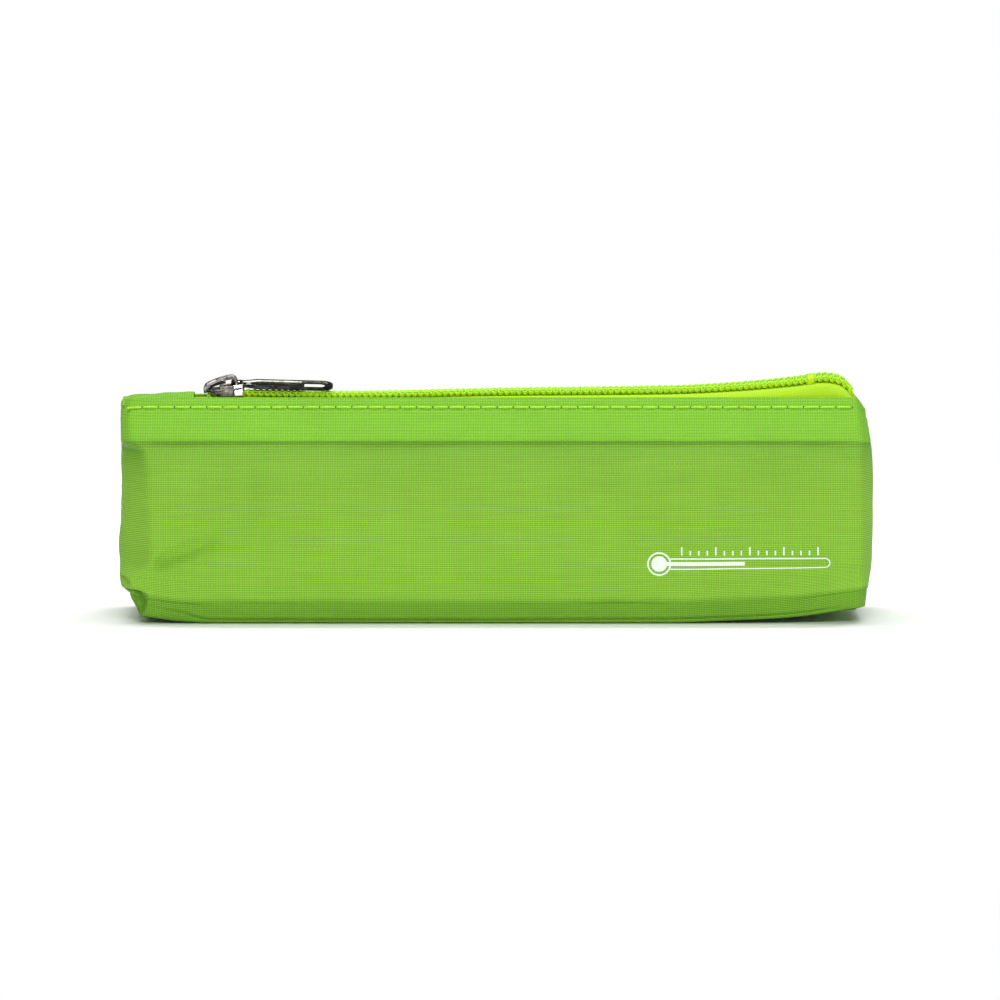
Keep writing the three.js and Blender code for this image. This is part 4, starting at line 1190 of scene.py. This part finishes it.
SLIDER_PITCH = math.radians(5)
slider_middle = Matrix.Translation((SLIDER_X * MM, 0, float(coil_height(SLIDER_X)) * MM))
slider_place = slider_middle @ Matrix.Rotation(-SLIDER_PITCH, 4, "Y")
PLATE_TOP = 2.0
CHANNEL_TOP = 1.2
CHANNEL_FLOOR = -1.65
PLATE_FOOT = -2.45
WIDE = 4.8
NARROW = 3.85
WAIST = (WIDE + NARROW) / 2 - 0.15
slider_outline = [
    (4.8, NARROW - 0.3, 0.9), (3.6, NARROW + 0.1, 0.9), (0.2, WAIST, 1.5), (-2.6, WIDE, 0.9),
    (-3.7, WIDE - 0.3, 0.8), (-4.8, 2.2, 1.2), (-4.5, 0.7, 0.5),
]


def cheek(x0, x1, y_in, y_out, low, high, lean, side):
    """A block on one side of the slider whose outer face leans inward as it rises."""
    ring = rounded([(x0, y_in), (x1, y_in), (x1, y_out - 0.15), (x0, y_out)], 0.3)
    mesh = outline_plate("cheek", [ring], low, high, 0.24, 4)
    tilt = Matrix.Identity(4)
    tilt[1][2] = -lean
    turn = Matrix.Scale(side, 4, (0, 1, 0))
    mesh.transform(turn @ tilt)
    if side < 0:
        mesh.flip_normals()
    return mesh


def slider_mesh():
    plate = [rounded(mirrored_outline(slider_outline), 0.6)]
    meshes = [
        outline_plate("top", plate, CHANNEL_TOP, PLATE_TOP, 0.3, 4),
        outline_plate("foot", plate, PLATE_FOOT, CHANNEL_FLOOR, 0.22),
    ]
    wing = [
        (0.2, WAIST), (-2.6, WIDE), (-3.5, WIDE - 0.2), (-3.4, WIDE - 0.85), (-2.5, WIDE - 0.75),
        (0.2, WAIST - 0.8),
    ]
    lower = [(4.4, NARROW - 0.05), (3.6, NARROW + 0.1)] + wing + [(3.5, NARROW - 0.7), (4.4, NARROW - 0.8)]
    flanges = [("wing", wing, CHANNEL_TOP - 0.65, CHANNEL_TOP + 0.35)]
    flanges.append(("lower", lower, CHANNEL_FLOOR - 0.3, CHANNEL_FLOOR + 0.25))
    for side in (1, -1):
        for name, outline, low, high in flanges:
            ring = [(x, side * y) for x, y in outline]
            meshes.append(outline_plate(name, [rounded(ring, 0.25)], low, high, 0.18))
        meshes.append(cheek(-1.5, 2.2, 3.05, 4.4, -0.6, PLATE_TOP + 0.6, 0.02, side))
    wedge = [rounded(mirrored_outline([(-1.3, 0.12), (-3, 0.6), (-4.6, 0.75)]), 0.2)]
    meshes.append(outline_plate("wedge", wedge, CHANNEL_FLOOR - 0.2, CHANNEL_TOP + 0.2, 0.08))
    return meshes


cheeks = [cheek(2.3, 4.7, 3.15, 4.3, -0.35, PLATE_TOP + 0.65, 0.28, side) for side in (1, -1)]
for name, meshes, metal in (
    ("slider_cast_body", slider_mesh(), brown_nickel), ("slider_cheeks", cheeks, nickel),
):
    slider = join_meshes(name, meshes, metal, slider_place)
    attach(slider, "slider")
    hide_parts("slider_body")


def path_normals(path):
    """Unit normals to a path in one plane, on its left."""
    forward = unit(np.gradient(path, axis=0))
    return np.stack([-forward[:, 1], forward[:, 0]], axis=-1)


def sweep(path, widths, thicknesses, corner=0.3):
    """Rounded bar along a path in the XZ plane: its width across Y and its thickness change along it."""
    points = []
    for p, normal, w, h in zip(path, path_normals(path), widths, thicknesses):
        r = min(corner, 0.45 * w, 0.45 * h)
        ring = rounded([(w / 2, h / 2), (-w / 2, h / 2), (-w / 2, -h / 2), (w / 2, -h / 2)], r)
        points += [(p[0] + normal[0] * up, across, p[1] + normal[1] * up) for across, up in ring]
    return mesh_of("sweep", points, tube_faces(len(path), len(ring)))


def spline_through(points, count):
    """A smooth path through points, by equal steps of a Catmull-Rom curve."""
    p = np.asarray(points, float)
    ext = np.vstack([2 * p[0] - p[1], p, 2 * p[-1] - p[-2]])
    out = []
    for s in np.linspace(0, len(p) - 1, count):
        i = min(int(s), len(p) - 2)
        t = s - i
        a, b, c, d = ext[i : i + 4]
        out.append(
            0.5 * (2 * b + (c - a) * t + (2 * a - 5 * b + 4 * c - d) * t * t + (3 * b - a - 3 * c + d) * t**3)
        )
    return np.array(out)


def crown_mesh():
    path = spline_through([
        (-5.3, PLATE_TOP - 1), (-5.3, PLATE_TOP - 0.1), (-5.12, PLATE_TOP + 0.6), (-4.55, PLATE_TOP + 1.2),
        (-3.2, PLATE_TOP + 1.72), (-1.3, PLATE_TOP + 2.22), (0.4, PLATE_TOP + 2.55), (1.7, PLATE_TOP + 2.66),
        (2.35, PLATE_TOP + 2.52), (2.8, PLATE_TOP + 2.02), (3.05, PLATE_TOP + 1.2), (3.15, PLATE_TOP + 0.1),
    ], 60)
    share = np.linspace(0, 1, len(path))
    width = curve([(0, 1.9), (0.12, 2.1), (0.3, 1.85), (0.8, 1.75), (1, 2.1)])(share)
    thick = curve([(0, 1.1), (0.15, 1.25), (0.4, 1.3), (0.7, 1.3), (0.85, 1.05), (1, 0.9)])(share)
    meshes = [sweep(path, width, thick)]
    # Fine ribs across the loop's outer face
    normal = path_normals(path)
    for i in range(14, 46, 2):
        centre = path[i] + normal[i] * (thick[i] / 2 - 0.02)
        line = np.array([(centre[0], y, centre[1]) for y in np.linspace(-0.72, 0.72, 5)])
        meshes.append(mesh_of("rib", tube(line, 0.09, 8), tube_faces(5, 8)))
    return meshes


crown = join_meshes("slider_loop", crown_mesh(), darker_loop_nickel, slider_place)
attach(crown, "slider")
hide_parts("slider_crown")


def lock_spring():
    """The dark leaf spring that lies under the loop."""
    path = spline_through([
        (-4.35, PLATE_TOP - 0.3), (-4.2, PLATE_TOP + 0.15), (-3.2, PLATE_TOP + 0.75),
        (-1.6, PLATE_TOP + 1.15), (-0.6, PLATE_TOP + 1.32), (0.2, PLATE_TOP + 1.38),
    ], 30)
    return [sweep(path, np.full(30, 1.3), np.full(30, 0.6), 0.15)]


spring = join_meshes("lock_spring", lock_spring(), black_steel, slider_place)
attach(spring, "slider")

# Puller

PULLER_ROLL = math.radians(13)
PULLER_DROOP = math.radians(1.5)
puller_joint = next(joint for joint in frame["joints"] if joint["name"] == "puller_swing")
HINGE = Vector(puller_joint["pos_m"])
PULLER_TIP = 27.0
PULLER_HALF = 3.1
PULLER_NECK = 2.1
PULLER_FOOT = -0.3
PULLER_FACE = 0.04
BAR_RADIUS = 0.42
# The far slope of the lip carries a painted highlight up to here
HIGHLIGHT_END = 18.5
puller_turn = Matrix.Rotation(PULLER_DROOP, 4, "Y") @ Matrix.Rotation(PULLER_ROLL, 4, "X")
puller_place = Matrix.Translation(HINGE) @ puller_turn


def puller_rim():
    """The outline of the puller, from its neck at the hinge round the tip."""
    neck = rounded([
        (-0.4, PULLER_NECK, 0.3), (4.2, PULLER_NECK, 1.2), (6.6, PULLER_HALF, 1.6), (12, PULLER_HALF, 0.1),
    ], 0.3)[:-6]
    start = [point for point in neck if point[0] > -0.5]
    turn = np.linspace(-math.pi / 2, math.pi / 2, 18)
    middle = PULLER_TIP - PULLER_HALF
    tip = [(middle + PULLER_HALF * math.cos(a), PULLER_HALF * math.sin(a)) for a in turn]
    left = [(x, -y) for x, y in start] + [(HIGHLIGHT_END, -PULLER_HALF)]
    return left + tip + [(HIGHLIGHT_END, PULLER_HALF)] + start[::-1]


puller_outline = puller_rim()

puller_eye = rounded([(0.45, -1.25), (0.45, 1.25), (5, 1.25, 1), (5, -1.25, 1)], 0.35)
puller_slot = rounded([(19.2, -1.85, 0.5), (19.2, 1.85, 0.5), (24.9, 1.85, 1.8), (24.9, -1.85, 1.8)], 0.5, 8)


def loft(rings, keep):
    """A skin through closed rings of the same number of (x, y, z) points, on the stretches that are kept."""
    count = len(rings[0])
    faces = [f for f in grid_faces(len(rings), count, wrap=True) if keep[f[0] % count]]
    return mesh_of("loft", rings, faces)


def grown(ring, amount):
    """A closed outline moved outward from its middle by an amount."""
    ring = np.array(ring)
    forward = np.roll(ring, -1, axis=0) - np.roll(ring, 1, axis=0)
    normal = unit(np.stack([forward[:, 1], -forward[:, 0]], axis=-1))
    turn = np.sign(np.sum(normal * (ring - ring.mean(axis=0)), axis=1).sum())
    return ring + normal * turn * amount


# The lip round the puller, and the slope on its inner side: how far in, and how high
LIP = [
    (0.6, -0.28), (0.3, -0.56), (0.05, -0.56), (0, -0.5), (0, 0.33), (0.04, 0.41), (0.12, 0.43), (0.65, 0.31),
]
SLOT_LIP = [(0, -0.2), (0, 0.12), (0.1, 0.19), (0.5, 0.02)]
SLOPE = [(0.65, 0.31), (1.15, -0.02)]


def raised_edge(ring, way, steps, far=None):
    """A skin that follows an outline, all round or only on the side that is or isn't the far one."""
    spots = np.array(ring)
    on_far = (spots[:, 1] > 0.3) & (spots[:, 0] <= HIGHLIGHT_END)
    keep = np.full(len(spots), True) if far is None else on_far == far
    rings = []
    for inset, z in steps:
        line = grown(ring, -way * inset)
        # It is lower at the neck
        rings.append([(x, y, z * (0.4 + 0.6 * float(smooth(1.2, 2.8, x)))) for x, y in line])
    return loft(rings, keep)


def puller_frame():
    bar = tube(np.array([(-0.02, y, 0) for y in np.linspace(-1.9, 1.9, 9)]), BAR_RADIUS, 12)
    return [
        outline_plate("plate", [puller_outline, puller_eye, puller_slot], PULLER_FOOT, PULLER_FACE, 0.1),
        mesh_of("bar", bar, tube_faces(9, 12)),
        raised_edge(puller_slot, -1, SLOT_LIP),
        raised_edge(puller_outline, 1, LIP),
        raised_edge(puller_outline, 1, SLOPE, far=False),
    ]


puller_slope = [raised_edge(puller_outline, 1, SLOPE, far=True)]

# The puller's plate has painted shade and dark reflection, its far slope a painted highlight
for name, meshes, metal in (
    ("puller_plate", puller_frame(), shaded_puller_nickel), ("puller_slope", puller_slope, highlit_slope_nickel),
):
    puller = join_meshes(name, meshes, metal, puller_place)
    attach(puller, "puller")
    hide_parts("puller")

# Zip stops

TOP_STOP_DROP = 0.7


def top_stop(name, sy):
    x = COIL_START - 0.3
    y0 = float(coil_inner(np.array(x)))
    ring = rounded([(y0, -0.75), (y0 + 2.6, -0.75), (y0 + 2.6, 0.2), (y0, 0.2)], 0.35)
    mesh = outline_plate(name, [ring], 0, 2.1, 0.25)
    turn = Matrix(((0, 0, -1, 0), (sy, 0, 0, 0), (0, 1, 0, 0), (0, 0, 0, 1)))
    place = Matrix.Translation((x * MM, 0, (float(coil_height(x)) - TOP_STOP_DROP) * MM)) @ turn
    return join_meshes(name, [mesh], coil_nylon, place)


for sy, side in SIDES.items():
    stop = top_stop(f"{side}_zip_stop", sy)
    open_with_mouth(stop)
    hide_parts(f"{side}_top_stop")


def bottom_stop():
    """A lime nylon block moulded over both coils."""
    low, high = box_mm("zip_bottom_stop")
    middle = float((low[0] + high[0]) / 2)
    reach = float(high[0] - low[0]) / 2
    points, rings = [], 9
    for x in np.linspace(-reach, reach, rings):
        swell = math.sqrt(max(1 - (x / reach) ** 4, 0.05))
        half = (COIL_WIDTH + 0.15) * (0.9 + 0.1 * swell)
        top = COIL_HEIGHT / 2 * swell + 0.1
        ring = rounded([(half, top), (-half, top), (-half, -1), (half, -1)], 0.4, 4)
        points += [chain_point(np.array(middle + x), np.array(y), np.array(z)) for y, z in ring]
    return make_piece("bottom_stop", points, tube_faces(rings, len(ring)), coil_nylon)


stop = bottom_stop()
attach(stop, "pouch")
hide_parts("zip_bottom_stop")


# Tab over the closed end of the zip

TAB = 0.55
TAB_HALF = 5.9


def zip_end_tab():
    low, high = box_mm("left_zip_end_tab")
    x = np.linspace(low[0] - 2.2, high[0] - 0.6, 34)
    share = np.linspace(-1, 1, 33)
    rows = []
    for px in [*x, high[0] - 0.3, high[0], high[0] + 0.05]:
        y = share * TAB_HALF
        crown = (0.2 + 1.3 * smooth(-102, -84, px)) * (1 - share**2)
        edge = -1.6 * np.abs(share) ** 5
        z = EDGE - 0.35 + crown + edge + 0.08 * np.sin(px * 0.9 + share * 2)
        rows.append(np.stack([0 * y + px, y, z], axis=-1))
    rows = np.array(rows)
    uvs = np.stack([rows[..., 0], rows[..., 1] + 10], axis=-1)
    return thicken(grid_piece("zip_end_tab", rows, tab_cloth, uvs), TAB, offset=0)


tab = zip_end_tab()
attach(tab, "pouch")
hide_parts("left_zip_end_tab")


# Inside: foam, foil lining, binding and gel pack

INNER_TOP = 46.6


def layer_pieces(prefix, sink, material, nodes, thickness, crinkle):
    """One inner layer: four pieces of wall."""
    rows = np.concatenate([[FOOT + 0.2], np.arange(6.4, 46, 0.9), [INNER_TOP]])
    columns = [(0, i / 60) for i in range(60)] + [c for c in wall_columns() if c[0] > 0]
    for sx, sy, end, side in QUARTERS:
        points, uvs = wall_quarter(sx, sy, sink, rows, 0.5, columns, fold=False)
        if crinkle:
            wave = field(uvs[..., 0], uvs[..., 1], 9, 50 + sy) * crinkle
            fade = smooth(0, 3, np.abs(points[..., 0])) * smooth(0, 3, np.abs(points[..., 1]))
            points[..., 1] += -sy * np.clip(wave, 0, 1) * fade
        piece = grid_piece(f"{side}_{end}_{prefix}", points, material, uvs, sx * sy > 0)
        thicken(piece, thickness)
        open_with_mouth(piece)
        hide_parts(f"{side}_{nodes}", f"{end}_end_{nodes}")


layer_pieces("insulation", 0.9, foam, "foam", 3.0, 0)
layer_pieces("foil", 4.2, foil, "lining", 0.2, 0.7)

FLOOR_CORNER = 3.0


def floor_layer(name, height, inset, material, thickness, crinkle):
    length = HALF_LENGTH * float(length_share[-1](0)) - inset
    depth = HALF_DEPTH * float(depth_share(0)) - inset
    share_x = np.sin(np.linspace(-1, 1, 121) * math.pi / 2)
    rows = []
    for sy in np.sin(np.linspace(-1, 1, 41) * math.pi / 2):
        y = sy * depth
        over = max(abs(y) - (depth - FLOOR_CORNER), 0)
        x = share_x * (length - FLOOR_CORNER + math.sqrt(max(FLOOR_CORNER**2 - over**2, 0)))
        z = height + 1.6 * smooth(0.93, 1, np.maximum(np.abs(share_x), abs(sy))) ** 2
        if crinkle:
            z = z + np.clip(field(x, y + 0 * x, 12, 60), 0, 1) * crinkle
        z = np.where(x < 0, heights(z, -1, -x), heights(z, 1, x))
        rows.append(np.stack([x, 0 * x + y, z], axis=-1))
    rows = np.array(rows)
    piece = grid_piece(name, rows, material, rows[..., :2])
    thicken(piece, thickness, rim=True)
    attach(piece, "pouch")
    return piece


foam_floor = floor_layer("base_insulation", 3.95, 3.6, foam, 2.8, 0)
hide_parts("base_foam")
foil_floor = floor_layer("base_foil", 4.4, 4.6, foil, 0.2, 0.3)
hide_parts("base_lining")

BINDING_X = 90.2
BINDING_INSET = 5.3


def seam_binding(sx):
    """Woven tape folded over the raw edges inside one end."""
    rows = np.linspace(8, 45, 24)
    y = HALF_DEPTH * depth_share(height_share(rows)) - BINDING_INSET
    left = [(-b, a) for a, b in zip(rows[::-1], y[::-1])]
    foot = [(-y[0] + 1.2, 6.2), (-y[0] + 3, 5.4), (0, 5.3), (y[0] - 3, 5.4), (y[0] - 1.2, 6.2)]
    line = spline_through(left + foot + [(b, a) for a, b in zip(rows, y)], 120)
    across = [(-1.3, 0), (-1.15, 0.32), (0, 0.5), (1.15, 0.32), (1.3, 0), (1.15, -0.2), (-1.15, -0.2)]
    points, uvs = [], []
    for p, inward, run in zip(line, path_normals(line), run_along(line)):
        for a, lift in across:
            points.append((sx * BINDING_X + a, p[0] + inward[0] * lift, p[1] + inward[1] * lift))
            uvs.append((a, run))
    faces = tube_faces(len(line), len(across), True)
    piece = make_piece(f"{ENDS[sx]}_binding", points, faces, binding_cloth, uvs)
    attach(piece, "pouch")
    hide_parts(f"{ENDS[sx]}_seam_binding")


for sx in ENDS:
    seam_binding(sx)


def pillow(name, material, length, width, seal, foot, seam, top, nodes):
    """A filled pack: two faces that swell from a flat sealed border."""
    u = np.unique(np.concatenate([np.linspace(-1, 1, 71), [-0.995, 0.995]]))
    v = np.unique(np.concatenate([np.linspace(-1, 1, 31), [-0.99, 0.99]]))
    x, y = np.meshgrid(u * length / 2, v * width / 2)
    fx = np.clip(np.abs(x) / (length / 2 - seal), 0, 1)
    fy = np.clip(np.abs(y) / (width / 2 - seal), 0, 1)
    swell = (1 - fx**3.2) * (1 - fy**2.2)
    lump = 1 + 0.10 * field(x, y, 26, 70)
    ripple = 0.12 * np.sin(x * 2.2) * (1 - swell) * (seal > 0)
    upper = seam + 0.12 + (top - seam) * swell**0.7 * lump + ripple
    lower = seam - 0.12 - (seam - foot) * swell**0.6 + ripple
    grid = np.arange(x.size).reshape(x.shape)
    points = np.concatenate([np.stack([x, y, face], -1).reshape(-1, 3) for face in (upper, lower)])
    skin = grid_faces(*x.shape)
    faces = skin + shifted([face[::-1] for face in skin], x.size)
    rim = [*grid[0], *grid[1:, -1], *grid[-1, -2::-1], *grid[-2:0:-1, 0]]
    for a, b in zip(rim, rim[1:] + rim[:1]):
        faces.append((a, x.size + a, x.size + b, b))
    piece = make_piece(name, points, faces, material)
    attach(piece, "pouch")
    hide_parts(*nodes)


PACK_NODES = ["gel_pack_lower_film", "gel_pack_upper_film"]
pillow("gel_pack_film", film, 152, 31, 4, 4.85, 8.9, 16.7, PACK_NODES)
pillow("gel_pack_gel", gel, 143, 22.4, 0.0, 5.3, 8.9, 16.1, ["gel_fill"])


# A plain scale printed in white where the front has its print

PRINT_LEFT = 40
PRINT_RIGHT = 88.5
PRINT_HEIGHT = 16.2
PRINT_LIFT = 0.07


def print_scale():
    points, faces, uvs = [], [], []

    def patch(x, z):
        faces.extend(shifted(grid_faces(*x.shape), len(points)))
        place, _ = face_point(1, -1, x.ravel(), z.ravel(), PRINT_LIFT)
        points.extend(place)
        uvs.extend(np.stack([x.ravel(), z.ravel()], axis=-1))

    def bar(x0, x1, z0, z1):
        xs = np.linspace(x0, x1, max(int(abs(x1 - x0)), 1) + 1)
        zs = np.linspace(z0, z1, max(int(abs(z1 - z0) / 0.8), 1) + 1)
        patch(*np.meshgrid(xs, zs))

    def arc(cx, angles, radii):
        a, r = np.meshgrid(angles, radii)
        patch(cx + r * np.cos(a), PRINT_HEIGHT + r * np.sin(a))

    bulb = PRINT_LEFT + 3.2
    tip = PRINT_RIGHT - 1.2
    circle = np.linspace(0, 2 * math.pi, 41)
    arc(bulb, circle, np.linspace(2.1, 0.02, 3))
    arc(bulb, circle, np.linspace(3.2, 2.75, 3))
    bar(bulb + 2.0, PRINT_LEFT + 26, PRINT_HEIGHT - 0.55, PRINT_HEIGHT + 0.55)
    bar(bulb + 2.95, tip, PRINT_HEIGHT + 1.2, PRINT_HEIGHT + 1.55)
    bar(bulb + 2.95, tip, PRINT_HEIGHT - 1.55, PRINT_HEIGHT - 1.2)
    arc(tip, np.linspace(-math.pi / 2, math.pi / 2, 15), [1.55, 1.2])
    for i, x in enumerate(np.linspace(bulb + 6, PRINT_RIGHT - 3, 17)):
        long = 2.2 if i % 4 == 0 else 1.2
        bar(x - 0.2, x + 0.2, PRINT_HEIGHT + 2.3, PRINT_HEIGHT + 2.3 + long)
    return make_piece("printed_scale", points, faces, ink, uvs)


scale = print_scale()
open_with_mouth(scale)

# Floor, lights and camera

FLOOR_HEIGHT = -0.02


def stage_floor():
    n = Nodes("floor_white")
    tone = n.noise(n.place(), 3.0, 2.0)
    n.finish(Base_Color=n.between(tone, (0.93, 0.93, 0.93), (0.95, 0.95, 0.95)), Roughness=0.6)
    points = [(x, y, FLOOR_HEIGHT) for y in (-520, 420) for x in (-560, 560)]
    make_piece("floor", points, grid_faces(2, 2), n.material)


stage_floor()


def area_light(name, place, target, size, power):
    data = bpy.data.lights.new(name, "AREA")
    data.shape = "RECTANGLE"
    data.size, data.size_y = size
    data.energy = power
    lamp = show(name, data)
    lamp.location = place
    lamp.rotation_euler = (Vector(target) - Vector(place)).to_track_quat("-Z", "Y").to_euler()


area_light("key", (0.05, -0.97, 0.66), (0, 0, 0.03), (0.6, 0.34), 6.4)
area_light("top", (0.0, -0.05, 0.95), (0, 0, 0.03), (0.9, 0.34), 3.2)
area_light("side", (0.9, -0.5, 0.45), (0, 0, 0.03), (0.3, 0.4), 0.8)
area_light("low", (0, -0.9, 0.08), (0, 0, 0.01), (0.8, 0.1), 0.9)
area_light("backdrop", (0, 0.3, 0.95), (0, 0.62, 0), (1.8, 0.2), 15)

# White where it is seen, and a faint light on the object
AMBIENT = 0.12
world = bpy.data.worlds.new("soft_white")
world.use_nodes = True
sky = world.node_tree
background = sky.nodes["Background"]
background.inputs["Color"].default_value = (1, 1, 1, 1)
glow = sky.nodes.new("ShaderNodeMath")
glow.operation = "MULTIPLY_ADD"
sky.links.new(sky.nodes.new("ShaderNodeLightPath").outputs["Is Camera Ray"], glow.inputs[0])
glow.inputs[1].default_value = 1 - AMBIENT
glow.inputs[2].default_value = AMBIENT
sky.links.new(glow.outputs[0], background.inputs["Strength"])
bpy.context.scene.world = world
bpy.context.scene.view_settings.view_transform = "Standard"


def photo_camera():
    forward = Vector((0, math.cos(ELEVATION), -math.sin(ELEVATION)))
    up = Vector((0, math.sin(ELEVATION), math.cos(ELEVATION)))
    target = Vector((VIEW_X, 0, 0)) + up * VIEW_UP + forward * VIEW_DEPTH
    distance = IMAGE_SIZE / PIXELS_PER_MM / SENSOR * LENS
    data = bpy.data.cameras.new("camera")
    data.lens = LENS
    data.sensor_width = SENSOR
    camera = show("camera", data)
    camera.location = (target - forward * distance) * MM
    camera.rotation_euler = forward.to_track_quat("-Z", "Y").to_euler()
    bpy.context.scene.camera = camera


photo_camera()

bpy.context.view_layer.update()
